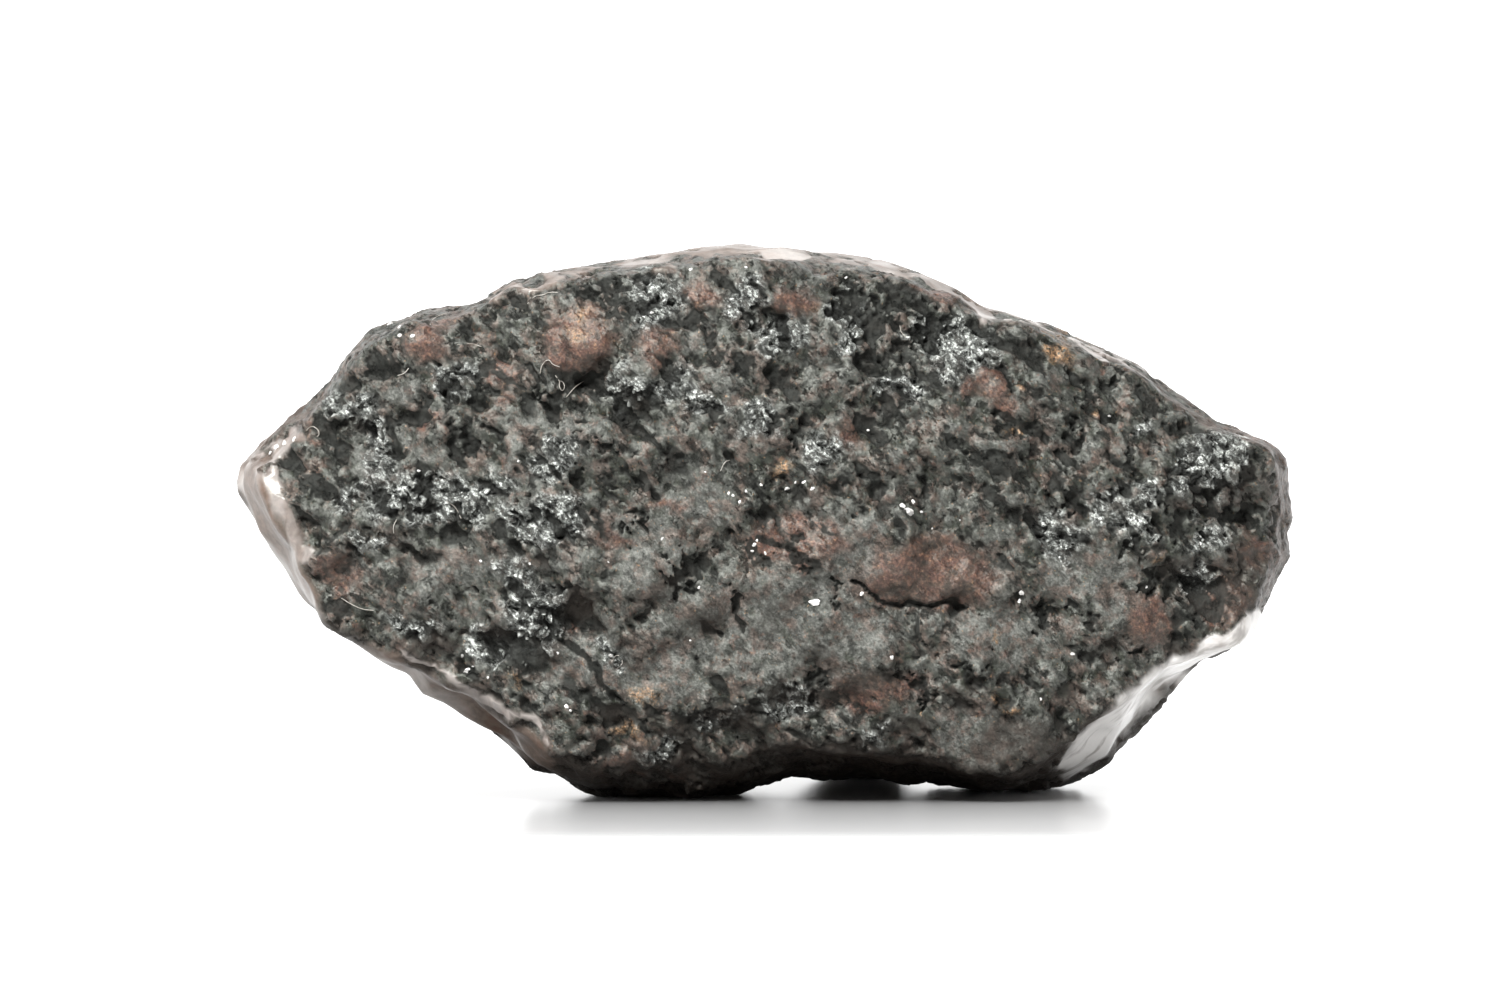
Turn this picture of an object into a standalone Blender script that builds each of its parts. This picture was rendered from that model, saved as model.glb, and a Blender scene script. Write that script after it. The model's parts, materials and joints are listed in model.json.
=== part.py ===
"""A natural stony meteorite, one dark weathered stone about 50 mm long.

It stands with its broad, nearly flat face towards -Y and rests on three small flats: a long one under
the left of the front face, one under its right, and one under the middle of the back. A low arch runs
between them. Seen from the front, the stone is a long hexagon with a domed top and a narrow end on
each side. Its side walls flare out behind the front face, then turn in towards a smaller, lumpy back.
"""

import math

import bmesh
import bpy
import numpy
from mathutils import Vector, noise

# Lengths in this file are in millimetres, and MM turns them into metres.
MM = 0.001

OBJECT_NAME = "meteorite"
STONE_NAME = "stone"

# The widest line of the stone seen from the front, as (x, z), from the left tip over the top.
OUTLINE = (
    (-25.4, 15.6), (-24.8, 16.5), (-23.1, 17.7), (-22.2, 18.4), (-21.1, 19.3), (-20.1, 20.9),
    (-19.3, 21.7), (-17.7, 22.5), (-16.6, 23.0), (-14.4, 23.2), (-11.8, 24.6), (-9.7, 24.9),
    (-5.9, 25.5), (-1.6, 26.2), (3.5, 25.6), (7.4, 24.7), (9.2, 23.9), (9.9, 23.1),
    (12.8, 22.4), (17.9, 20.4), (19.3, 19.0), (21.6, 17.7), (23.7, 17.0), (25.0, 16.6),
    (25.4, 15.6), (25.3, 14.4), (25.4, 13.1), (24.9, 12.3), (25.3, 11.5), (24.3, 10.0),
    (23.9, 8.8), (23.5, 7.9), (22.2, 6.9), (20.7, 6.1), (19.3, 4.6), (18.2, 2.7),
    (16.7, 1.2), (15.3, 0.5), (13.3, -0.3), (10.5, -0.3), (8.0, 0.4), (4.8, 0.9),
    (1.2, 0.7), (-1.7, -0.3), (-7.9, -0.3), (-9.8, 0.6), (-11.5, 1.3), (-12.9, 2.5),
    (-14.9, 4.4), (-16.4, 5.0), (-17.2, 6.1), (-19.3, 6.9), (-21.2, 8.1), (-22.4, 9.6),
    (-23.7, 11.5), (-24.7, 13.0), (-25.3, 14.3),
)
MIDDLE = (0.0, 12.5)

# The lists below run round the stone as (angle, value), with the angle in degrees about the middle,
# from the right end over the top. An inset is how far a rim lies inside the widest line.
FRONT_INSET = (
    (3, 1.4), (8, 1.3), (10, 0.6), (38, 0.4), (51, 0.5), (65, 0.7), (96, 0.7), (130, 0.6),
    (148, 0.5), (165, 0.7), (170, 1.2), (173, 1.4), (176, 1.9), (182, 1.9), (187, 1.3),
    (191, 0.7), (197, 0.6), (203, 1.1), (218, 1.8), (232, 2.0), (240, 2.4), (262, 2.4),
    (290, 1.8), (312, 2.4), (322, 2.7), (332, 3.3), (338, 2.6), (343, 1.7), (347, 0.9), (352, 0.9),
)
FRONT_DEPTH = (
    (3, -6.2), (18, -6.6), (38, -7.4), (60, -8.1), (96, -8.6), (130, -8.6), (158, -7.9),
    (173, -7.2), (190, -8.2), (218, -8.8), (250, -9.0), (290, -8.8), (313, -8.6), (332, -8.5), (345, -7.2),
)
WIDEST_DEPTH = (
    (3, -1.6), (38, -2.4), (96, -3.2), (150, -3.4), (173, -2.4), (190, -2.6), (218, -2.6), (236, -5.4),
    (262, -5.4), (290, -3.4), (304, -2.4), (313, -2.0), (332, -0.6), (345, -1.2),
)
BACK_INSET = (
    (3, 3.6), (35, 3.0), (60, 2.6), (96, 3.0), (130, 3.4), (158, 4.6), (173, 6.4), (190, 5.6),
    (218, 4.6), (250, 3.8), (274, 2.2), (285, -1.6), (294, -1.7), (305, 1.6), (314, 2.4), (332, 3.4), (350, 3.6),
)
BACK_DEPTH = (
    (3, 4.6), (35, 6.4), (60, 7.4), (96, 7.8), (130, 7.6), (158, 5.8), (173, 4.0), (190, 5.2),
    (218, 6.8), (250, 7.4), (280, 5.8), (302, 5.8), (332, 6.2), (350, 5.2),
)
FRONT_CENTRE = -10.2
BACK_CENTRE = 10.6
FRONT_DOME = 2.6
BACK_DOME = 1.7
FLARE_CURVE = 1.25
TURN_IN_CURVE = 1.9
RAYS = 180
FACE_RINGS = 10
WALL_RINGS = 6

# Broken facets of the back and sides, each a point on the flat and the direction that it faces.
FACETS = (
    ((-12.0, 7.2, 15.0), (-0.50, 0.84, 0.22)),
    ((13.0, 7.4, 11.0), (0.30, 0.94, -0.12)),
    ((2.0, 5.8, 21.6), (0.10, 0.62, 0.78)),
    ((-9.0, 5.6, 3.6), (-0.52, 0.60, -0.61)),
    ((18.0, 4.0, 17.0), (0.66, 0.56, 0.50)),
    ((-19.0, 2.8, 9.6), (-0.62, 0.60, -0.50)),
)

# Lumps (height above nought) and hollows (below nought) as centre, radius and height.
FRONT_FORMS = (
    ((-8.0, 14.0), 11.0, 0.70),
    ((-8.6, 21.6), 2.0, 0.32),
    ((-16.0, 21.5), 1.7, 0.28),
    ((-19.0, 17.4), 1.3, -0.45),
    ((-14.0, 19.0), 1.5, -0.40),
    ((-17.0, 14.6), 2.2, 0.30),
    ((-12.5, 15.4), 1.6, 0.28),
    ((-5.2, 19.8), 1.6, 0.26),
    ((-0.8, 20.8), 1.9, 0.22),
    ((0.2, 22.6), 1.4, -0.42),
    ((3.6, 22.9), 1.3, -0.38),
    ((7.4, 21.6), 1.9, -0.50),
    ((9.6, 20.2), 1.8, 0.30),
    ((8.0, 10.2), 3.4, -0.30),
    ((-8.6, 8.6), 1.6, -0.60),
    ((-1.6, 5.0), 2.2, 0.30),
    ((-6.0, 7.4), 1.8, 0.25),
    ((2.6, 15.0), 2.4, 0.24),
    ((14.6, 12.4), 1.8, 0.26),
    ((18.6, 14.4), 1.9, 0.40),
    ((21.0, 9.6), 1.6, -0.50),
    ((22.4, 13.4), 1.5, -0.55),
    ((19.6, 10.6), 1.5, -0.35),
    ((14.6, 3.4), 2.4, -0.35),
    ((10.4, 5.2), 2.0, 0.25),
    ((20.6, 17.0), 1.2, 0.25),
    ((-20.6, 11.6), 1.5, 0.25),
    ((-13.0, 8.4), 1.8, 0.25),
)
BODY_FORMS = (
    ((-6.0, 9.6, 17.0), 5.0, -1.00),
    ((4.0, 10.4, 13.0), 4.2, -0.80),
    ((11.5, 8.6, 18.5), 3.8, -0.80),
    ((-14.0, 7.4, 11.0), 4.0, -0.80),
    ((-3.0, 9.4, 7.0), 3.8, -0.70),
    ((12.0, 8.0, 7.0), 4.0, -0.80),
    ((20.0, 4.0, 12.0), 3.4, -0.60),
    ((-20.0, 2.6, 16.0), 3.4, -0.60),
    ((-8.0, 3.0, 25.0), 4.0, -0.60),
    ((6.0, 3.0, 25.0), 3.6, -0.50),
    ((15.0, 3.0, 21.0), 3.4, -0.50),
    ((0.0, 10.8, 20.0), 2.6, 0.45),
    ((8.0, 10.0, 9.6), 2.4, 0.40),
    ((-10.0, 9.4, 12.6), 2.6, 0.45),
    ((24.6, 0.4, 15.8), 1.6, 0.18),
    ((24.6, 0.2, 12.4), 1.2, -0.28),
    ((24.7, -0.6, 11.4), 1.0, 0.18),
    ((18.0, -3.0, 4.4), 2.2, -0.18),
)

# Grooves and ledges as (points, width, height), the points as (x, z) on the front face.
FRONT_LINES = (
    (((-8.2, 20.2), (-7.2, 19.2), (-6.6, 18.0), (-5.6, 17.4)), 1.10, -0.42),
    (((4.5, 10.0), (6.0, 9.4), (6.8, 8.9), (8.4, 9.3), (9.9, 9.1)), 0.90, -0.28),
    (((-6.2, 2.9), (-6.4, 4.6), (-5.2, 5.4)), 0.60, 0.22),
    (((-15.2, 6.2), (-13.4, 5.4), (-11.4, 4.2)), 0.60, 0.22),
    (((9.4, 6.6), (13.0, 6.2), (16.4, 5.6)), 0.80, 0.20),
)
# Ridges along the lower left wall, and the sharp rims of the front face, in space.
BODY_LINES = (
    (((-17.8, -4.6, 6.0), (-14.8, -4.8, 4.2), (-11.6, -5.2, 2.4)), 0.70, 0.25),
    (((-16.4, -1.4, 5.4), (-13.4, -1.6, 3.4), (-10.6, -2.4, 1.4)), 0.70, 0.22),
    (((16.8, -2.6, 3.2), (18.4, -2.8, 5.2), (20.4, -3.0, 6.6)), 0.60, 0.20),
    (((13.6, -8.6, 1.7), (15.3, -8.6, 4.0), (16.9, -8.2, 5.4), (19.4, -7.6, 6.4)), 0.80, 0.30),
    (((-23.9, -7.0, 15.4), (-23.0, -7.6, 13.0), (-21.6, -8.0, 10.6), (-20.4, -8.2, 8.8)), 0.70, 0.25),
)

# Overall roughness as (size of the lumps, height), and how much of it the walls and the back have.
ROUGHNESS = ((6.5, 0.30), (3.0, 0.50), (1.7, 0.46))
WALL_ROUGHNESS = 0.45
NOISE_SHIFT = (31.7, 12.4, 5.9)

WORKING_VOXEL = 0.40
ROUNDING_FACTOR = 0.5
ROUNDING_PASSES = 1
TRIANGLES = 9200

STONE_COLOUR = (0.045, 0.042, 0.039, 1.0)
STONE_ROUGHNESS = 0.55
STONE_METALLIC = 0.0


def clear_scene():
    """Removes whatever objects the open file holds."""
    for item in list(bpy.data.objects):
        bpy.data.objects.remove(item, do_unlink=True)


def new_collection(name):
    """Makes a collection in the scene."""
    collection = bpy.data.collections.new(name)
    bpy.context.scene.collection.children.link(collection)
    return collection


def stone_material():
    """Dark, semi-gloss weathered crust."""
    material = bpy.data.materials.new("dark_weathered_stone")
    material.use_nodes = True
    shader = material.node_tree.nodes["Principled BSDF"]
    shader.inputs["Base Color"].default_value = STONE_COLOUR
    shader.inputs["Roughness"].default_value = STONE_ROUGHNESS
    shader.inputs["Metallic"].default_value = STONE_METALLIC
    return material


def around(pairs, angles):
    """Reads a list of (angle, value) pairs at some angles, running on round the stone."""
    keys, values = zip(*pairs)
    return numpy.interp(angles, keys, values, period=360.0)


def outline_rays():
    """The angle and radius of the widest line on rays that step evenly along it."""
    closed = numpy.array(OUTLINE + OUTLINE[:1])
    lengths = numpy.hypot(*numpy.diff(closed, axis=0).T)
    travelled = numpy.concatenate(([0.0], numpy.cumsum(lengths)))
    steps = numpy.linspace(0.0, travelled[-1], RAYS, endpoint=False)
    x = numpy.interp(steps, travelled, closed[:, 0]) - MIDDLE[0]
    z = numpy.interp(steps, travelled, closed[:, 1]) - MIDDLE[1]
    return numpy.degrees(numpy.arctan2(z, x)), numpy.hypot(x, z)


def loft_rings():
    """The stone's rings from front to back, each as the radii and depths on all rays."""
    angles, widest = outline_rays()
    front = widest - around(FRONT_INSET, angles)
    back = widest - around(BACK_INSET, angles)
    front_y = around(FRONT_DEPTH, angles)
    widest_y = around(WIDEST_DEPTH, angles)
    back_y = around(BACK_DEPTH, angles)
    rings = []
    for step in range(1, FACE_RINGS + 1):
        t = step / FACE_RINGS
        rings.append((front * t, FRONT_CENTRE + (front_y - FRONT_CENTRE) * t ** FRONT_DOME))
    for step in range(1, WALL_RINGS + 1):
        t = step / WALL_RINGS
        flare = 1.0 - (1.0 - t) ** FLARE_CURVE
        rings.append((front + (widest - front) * flare, front_y + (widest_y - front_y) * t))
    for step in range(1, WALL_RINGS + 1):
        t = step / WALL_RINGS
        rings.append((widest + (back - widest) * t ** TURN_IN_CURVE, widest_y + (back_y - widest_y) * t))
    for step in range(FACE_RINGS - 1, 0, -1):
        t = step / FACE_RINGS
        rings.append((back * t, BACK_CENTRE + (back_y - BACK_CENTRE) * t ** BACK_DOME))
    return angles, rings


def loft_stone(mesh):
    """Lofts the rings into one closed body, with a point at the middle of the front and the back."""
    angles, rings = loft_rings()
    directions = [(math.cos(math.radians(a)), math.sin(math.radians(a))) for a in angles]
    body = bmesh.new()
    grid = []
    for radii, depths in rings:
        row = []
        for (across, up), radius, depth in zip(directions, radii, depths):
            place = Vector((MIDDLE[0] + across * radius, depth, MIDDLE[1] + up * radius))
            row.append(body.verts.new(place * MM))
        grid.append(row)
    front_tip = body.verts.new(Vector((MIDDLE[0], FRONT_CENTRE, MIDDLE[1])) * MM)
    back_tip = body.verts.new(Vector((MIDDLE[0], BACK_CENTRE, MIDDLE[1])) * MM)
    for i in range(RAYS):
        j = (i + 1) % RAYS
        body.faces.new((front_tip, grid[0][i], grid[0][j]))
        body.faces.new((back_tip, grid[-1][j], grid[-1][i]))
        for near, far in zip(grid, grid[1:]):
            body.faces.new((near[j], near[i], far[i], far[j]))
    bmesh.ops.recalc_face_normals(body, faces=body.faces)
    break_facets(body)
    body.to_mesh(mesh)
    body.free()


def break_facets(body):
    """Cuts the broken facets off the lofted body and closes each cut."""
    for point, facing in FACETS:
        whole = body.verts[:] + body.edges[:] + body.faces[:]
        cut = bmesh.ops.bisect_plane(
            body, geom=whole, plane_co=Vector(point) * MM, plane_no=Vector(facing), clear_outer=True
        )
        rim = [item for item in cut["geom_cut"] if isinstance(item, bmesh.types.BMEdge)]
        bmesh.ops.contextual_create(body, geom=rim)


def evaluated_mesh(item):
    """The mesh of an object with its modifiers applied."""
    item.update_tag()
    bpy.context.view_layer.update()
    graph = bpy.context.evaluated_depsgraph_get()
    return bpy.data.meshes.new_from_object(item.evaluated_get(graph))


def rounded_stone(collection):
    """The lofted body, remeshed evenly, with its edges rounded."""
    mesh = bpy.data.meshes.new("stone_loft")
    loft_stone(mesh)
    item = bpy.data.objects.new("stone_loft", mesh)
    collection.objects.link(item)
    remesh = item.modifiers.new("even_faces", "REMESH")
    remesh.mode = "VOXEL"
    remesh.voxel_size = WORKING_VOXEL * MM
    rounding = item.modifiers.new("rounded_edges", "SMOOTH")
    rounding.factor = ROUNDING_FACTOR
    rounding.iterations = ROUNDING_PASSES
    result = evaluated_mesh(item)
    bpy.data.objects.remove(item, do_unlink=True)
    bpy.data.meshes.remove(mesh)
    return result


def bell(distance, reach):
    """A smooth fall from 1 in the middle to 0 at the reach."""
    t = numpy.clip(distance / reach, 0.0, 1.0)
    return (1.0 - t * t) ** 2


def distance_to_line(places, points):
    """The shortest distance from each place to a chain of points."""
    nearest = numpy.full(len(places), numpy.inf)
    for start, end in zip(points, points[1:]):
        start = numpy.array(start)
        along = numpy.array(end) - start
        share = numpy.clip((places - start) @ along / (along @ along), 0.0, 1.0)
        gap = places - (start + share[:, None] * along)
        nearest = numpy.minimum(nearest, numpy.linalg.norm(gap, axis=1))
    return nearest


def relief(places, normals):
    """How far each place is raised or sunk along its normal, in millimetres."""
    flat = places[:, [0, 2]]
    facing_front = numpy.clip(-normals[:, 1] * 2.0, 0.0, 1.0)
    height = numpy.zeros(len(places))
    for centre, radius, rise in FRONT_FORMS:
        height += rise * facing_front * bell(numpy.linalg.norm(flat - centre, axis=1), radius)
    for centre, radius, rise in BODY_FORMS:
        height += rise * bell(numpy.linalg.norm(places - centre, axis=1), radius)
    for points, width, rise in FRONT_LINES:
        height += rise * facing_front * bell(distance_to_line(flat, points), width)
    for points, width, rise in BODY_LINES:
        height += rise * bell(distance_to_line(places, points), width)
    shift = Vector(NOISE_SHIFT)
    share = WALL_ROUGHNESS + (1.0 - WALL_ROUGHNESS) * facing_front
    for size, rise in ROUGHNESS:
        height += rise * share * numpy.array([noise.noise(Vector(place) / size + shift) for place in places])
    return height


def carve(mesh):
    """Raises the lumps and ridges and sinks the hollows and grooves."""
    count = len(mesh.vertices)
    places = numpy.empty(count * 3)
    mesh.vertices.foreach_get("co", places)
    places = places.reshape(-1, 3) / MM
    normals = numpy.empty(count * 3, dtype=numpy.float32)
    mesh.vertex_normals.foreach_get("vector", normals)
    normals = normals.reshape(-1, 3).astype(float)
    places += normals * relief(places, normals)[:, None]
    mesh.vertices.foreach_set("co", (places * MM).ravel())
    mesh.update()


def fewer_faces(mesh, collection):
    """Reduces the mesh to the stone's triangle count, which keeps its forms."""
    item = bpy.data.objects.new("stone_fine", mesh)
    collection.objects.link(item)
    mesh.calc_loop_triangles()
    reduce = item.modifiers.new("fewer_faces", "DECIMATE")
    reduce.ratio = TRIANGLES / len(mesh.loop_triangles)
    reduce.use_collapse_triangulate = True
    result = evaluated_mesh(item)
    bpy.data.objects.remove(item, do_unlink=True)
    bpy.data.meshes.remove(mesh)
    return result


def stand_on_flats(mesh):
    """Flattens whatever reaches below the ground and centres the stone over the origin."""
    for vertex in mesh.vertices:
        vertex.co.z = max(vertex.co.z, 0.0)
    across = [vertex.co.x for vertex in mesh.vertices]
    deep = [vertex.co.y for vertex in mesh.vertices]
    shift = Vector((-(min(across) + max(across)) / 2, -(min(deep) + max(deep)) / 2, 0.0))
    for vertex in mesh.vertices:
        vertex.co += shift
    mesh.update()


def build():
    """Makes the stone."""
    clear_scene()
    collection = new_collection(OBJECT_NAME)
    mesh = rounded_stone(collection)
    carve(mesh)
    mesh = fewer_faces(mesh, collection)
    stand_on_flats(mesh)
    mesh.name = STONE_NAME
    mesh.materials.clear()
    mesh.materials.append(stone_material())
    mesh.shade_smooth()
    stone = bpy.data.objects.new(STONE_NAME, mesh)
    collection.objects.link(stone)


build()
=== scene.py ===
"""The looks of a natural stony meteorite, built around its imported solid.

The surface is carved from an even copy of the solid: grains, broken facets and pits on the broad front
face, a smoother crust on the sides. What lies on it, pale flecks and lint, are pieces of their own.
Lists of places on the front face are (x, z) in millimetres in the frame, seen from the front.
"""

import json
import math
from types import SimpleNamespace

import bmesh
import bpy
import numpy
from bpy.props import FloatProperty, FloatVectorProperty, IntProperty, PointerProperty
from mathutils import Matrix, Vector, noise
from mathutils.bvhtree import BVHTree

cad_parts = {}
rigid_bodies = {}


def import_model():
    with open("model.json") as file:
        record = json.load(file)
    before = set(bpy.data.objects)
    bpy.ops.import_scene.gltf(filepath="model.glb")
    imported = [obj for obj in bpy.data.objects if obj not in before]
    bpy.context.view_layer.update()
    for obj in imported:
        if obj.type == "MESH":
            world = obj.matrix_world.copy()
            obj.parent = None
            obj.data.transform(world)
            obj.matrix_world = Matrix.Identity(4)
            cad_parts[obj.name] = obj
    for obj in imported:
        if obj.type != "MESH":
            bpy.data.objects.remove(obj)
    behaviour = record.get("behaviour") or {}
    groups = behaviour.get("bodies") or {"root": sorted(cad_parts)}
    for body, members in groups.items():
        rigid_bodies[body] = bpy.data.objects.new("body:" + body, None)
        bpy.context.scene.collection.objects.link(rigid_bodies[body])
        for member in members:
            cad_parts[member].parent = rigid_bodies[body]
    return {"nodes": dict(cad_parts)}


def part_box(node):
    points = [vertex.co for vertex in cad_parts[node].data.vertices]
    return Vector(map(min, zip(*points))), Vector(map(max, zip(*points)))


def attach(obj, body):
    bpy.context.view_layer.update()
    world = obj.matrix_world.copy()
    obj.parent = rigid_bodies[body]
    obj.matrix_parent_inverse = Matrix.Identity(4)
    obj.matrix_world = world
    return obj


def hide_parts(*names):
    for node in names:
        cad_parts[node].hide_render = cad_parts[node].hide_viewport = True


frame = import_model()

bl_info = {
    "name": "Meteorite",
    "version": (1, 0, 0),
    "blender": (4, 5, 0),
    "location": "View3D > Sidebar > Meteorite",
    "description": "Builds the surface, flecks, lint and stage of a stony meteorite",
    "category": "Object",
}

MM = 0.001
STONE_NODE = "stone"
BODY = "root"
SURFACE = "stone_surface"
LOWEST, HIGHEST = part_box(STONE_NODE)
MIDDLE = (LOWEST + HIGHEST) / 2

# Oval patches of the front face as (centre, half width and half height).
RUST_PATCHES = (
    ((-8.7, 21.8), (1.7, 1.3)), ((-15.7, 21.6), (1.1, 0.8)), ((-3.5, 23.9), (0.8, 0.8)),
    ((-0.7, 23.6), (0.7, 0.5)), ((1.6, 23.6), (1.0, 0.6)), ((7.7, 10.6), (3.5, 1.5)),
    ((18.2, 8.6), (1.2, 0.9)), ((-5.2, 21.5), (1.0, 0.7)), ((1.2, 12.4), (2.3, 1.0)),
    ((-8.7, 8.9), (0.7, 1.0)), ((10.3, 19.6), (0.6, 0.6)), ((-12.4, 20.1), (0.8, 0.8)),
    ((8.4, 23.8), (0.9, 0.5)), ((21.5, 9.6), (1.4, 1.2)), ((23.4, 11.4), (0.9, 0.6)),
    ((-4.7, 14.2), (0.7, 0.4)), ((-21.2, 17.4), (0.6, 0.4)), ((-15.7, 18.0), (0.4, 0.4)),
    ((-20.1, 10.5), (0.7, 1.5)), ((-7.3, 12.8), (0.4, 1.0)), ((4.9, 5.3), (2.3, 0.7)),
    ((-5.9, 1.6), (2.8, 0.5)), ((3.7, 17.5), (0.8, 1.1)), ((11.4, 18.9), (0.7, 0.5)),
)
OCHRE_SPOTS = (
    ((13.9, 21.2), (0.4, 0.7)), ((12.9, 21.7), (0.2, 0.2)), ((2.3, 23.1), (0.2, 0.2)),
    ((11.9, 19.8), (0.3, 0.2)), ((12.0, 17.8), (0.4, 0.2)), ((14.0, 17.7), (0.2, 0.2)),
    ((16.2, 18.0), (0.2, 0.2)), ((18.7, 11.2), (0.2, 0.2)), ((11.2, 7.9), (0.2, 0.2)),
    ((20.6, 12.1), (0.2, 0.2)), ((22.0, 10.7), (0.4, 0.2)), ((-18.6, 12.6), (0.5, 0.3)),
    ((-11.9, 5.6), (0.4, 0.2)), ((-6.2, 3.4), (0.8, 0.15)), ((-5.6, 5.3), (0.2, 0.6)),
    ((0.2, 15.6), (0.4, 0.2)), ((-8.9, 22.4), (0.5, 0.5)), ((11.4, 4.9), (0.5, 0.4)),
)
SMOOTH_PATCHES = (
    ((-17.6, 19.4), (1.4, 0.5)), ((-15.7, 16.7), (1.5, 0.5)), ((-18.7, 15.7), (0.9, 0.4)),
    ((15.2, 11.0), (2.1, 1.4)), ((17.1, 9.1), (1.4, 0.9)), ((-3.1, 14.2), (1.9, 1.2)),
    ((-5.4, 11.4), (1.9, 1.9)), ((-3.1, 9.1), (2.8, 1.9)), ((4.4, 11.4), (1.7, 1.9)),
    ((4.0, 7.7), (2.3, 1.9)), ((11.0, 7.7), (2.3, 1.4)), ((-4.9, 6.3), (2.3, 1.4)),
    ((1.2, 9.6), (2.8, 1.4)), ((-13.8, 11.0), (2.8, 0.9)), ((-0.2, 7.7), (2.8, 2.3)),
    ((-7.7, 6.7), (2.8, 1.4)), ((-9.6, 17.7), (2.8, 0.7)), ((11.0, 3.0), (3.7, 1.4)),
)
# Patches where the facets lean back to the light. Their colour is painted lighter, with pale crystals, partly
# as painted sheen and glints.
BRIGHT_PATCHES = (
    ((-5.4, 19.4), (1.9, 0.9)), ((-2.5, 18.8), (0.9, 0.4)), ((-5.2, 23.6), (1.0, 1.4)),
    ((-1.2, 23.6), (1.2, 0.7)), ((0.5, 22.0), (1.2, 0.8)), ((3.7, 22.7), (0.8, 1.1)),
    ((9.1, 21.2), (1.9, 1.2)), ((6.5, 19.4), (1.1, 0.8)), ((7.5, 22.2), (0.8, 0.7)),
    ((-14.5, 19.8), (1.0, 0.7)), ((-19.3, 18.4), (1.1, 0.7)), ((-18.3, 16.7), (0.6, 1.1)),
    ((-19.9, 14.0), (0.8, 0.4)), ((-17.8, 14.5), (1.4, 1.1)), ((-14.5, 14.5), (2.3, 1.3)),
    ((-18.7, 12.4), (0.8, 0.5)), ((-11.7, 10.7), (0.8, 0.9)), ((-9.6, 16.1), (1.2, 0.8)),
    ((-10.3, 13.3), (1.7, 1.2)), ((-10.5, 8.6), (1.6, 1.4)), ((-16.6, 8.4), (1.6, 0.5)),
    ((-12.9, 7.2), (1.4, 0.8)), ((18.5, 14.7), (1.4, 0.4)), ((15.9, 14.1), (0.8, 0.5)),
    ((14.0, 12.6), (1.1, 1.1)), ((17.3, 13.3), (0.9, 0.7)), ((20.6, 15.8), (1.4, 1.2)),
    ((21.8, 16.6), (0.9, 0.7)), ((18.0, 17.3), (0.7, 0.5)), ((20.7, 12.4), (1.2, 0.7)),
    ((20.1, 10.3), (0.9, 0.8)), ((-2.1, 4.2), (1.2, 0.8)), ((-5.2, 2.3), (0.8, 0.5)),
    ((4.9, 3.0), (0.7, 0.5)), ((1.4, 4.9), (1.4, 0.7)), ((2.6, 16.3), (1.1, 0.7)),
    ((-0.2, 18.0), (0.9, 0.5)), ((-7.3, 7.0), (0.7, 0.5)), ((5.6, 19.6), (0.6, 0.9)),
)
BROWN_PATCHES = (((12.2, 2.7), (3.2, 1.5)), ((-4.0, 1.2), (3.5, 0.7)), ((22.6, 10.4), (1.2, 1.6)))
PITS = (
    ((-7.7, 20.1), (0.7, 1.0)), ((-6.6, 18.7), (0.5, 0.6)), ((-13.6, 19.1), (0.5, 0.8)),
    ((-18.9, 17.4), (0.6, 0.5)), ((-0.7, 22.7), (0.7, 0.6)), ((4.0, 23.4), (0.5, 1.0)),
    ((6.5, 23.6), (1.4, 0.7)), ((7.9, 22.0), (0.9, 0.9)), ((4.9, 21.7), (0.7, 1.9)),
    ((5.8, 24.3), (0.6, 0.5)), ((-7.2, 23.6), (0.8, 1.0)), ((-8.4, 24.1), (0.7, 0.6)),
    ((-8.9, 9.1), (1.0, 1.0)), ((22.2, 13.5), (1.1, 0.8)), ((18.0, 12.1), (0.4, 0.8)),
    ((18.8, 10.0), (0.8, 0.8)), ((21.0, 9.6), (1.0, 1.0)), ((13.1, 8.5), (0.6, 0.4)),
    ((15.2, 8.6), (0.5, 0.5)), ((13.6, 14.0), (0.4, 0.5)), ((18.9, 14.2), (0.4, 0.4)),
    ((-3.5, 11.2), (0.7, 0.7)), ((-1.4, 9.8), (0.3, 0.7)), ((-4.0, 10.0), (0.4, 0.5)),
    ((-16.4, 14.2), (0.3, 0.9)), ((-11.2, 13.8), (0.4, 0.9)), ((-17.1, 13.3), (0.3, 0.7)),
    ((1.4, 12.1), (0.4, 0.4)), ((1.2, 17.5), (0.5, 0.5)), ((3.3, 9.6), (0.5, 0.4)),
    ((7.0, 5.8), (0.6, 0.3)), ((10.0, 5.9), (0.6, 0.25)), ((7.5, 4.6), (0.4, 0.3)),
    ((2.6, 5.6), (0.5, 0.4)), ((-0.2, 4.4), (0.3, 0.3)), ((17.5, 7.2), (0.5, 0.5)),
    ((-12.2, 17.5), (0.5, 0.5)), ((-9.6, 18.4), (0.5, 0.7)), ((11.4, 18.0), (0.7, 0.7)),
    ((14.5, 17.0), (0.5, 0.7)), ((15.2, 18.9), (0.5, 0.6)), ((16.6, 20.1), (0.6, 0.6)),
    ((-5.9, 13.3), (0.5, 0.5)), ((-8.2, 15.2), (0.6, 0.7)), ((-7.7, 17.0), (0.4, 0.5)),
    ((21.0, 14.2), (0.8, 0.6)), ((19.6, 15.6), (0.4, 0.8)), ((17.1, 15.6), (0.6, 0.4)),
    ((-14.3, 17.0), (0.5, 0.4)), ((-10.5, 19.6), (0.4, 0.7)), ((11.0, 20.3), (0.6, 0.5)),
    ((6.3, 21.2), (0.7, 0.5)),
)

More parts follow.
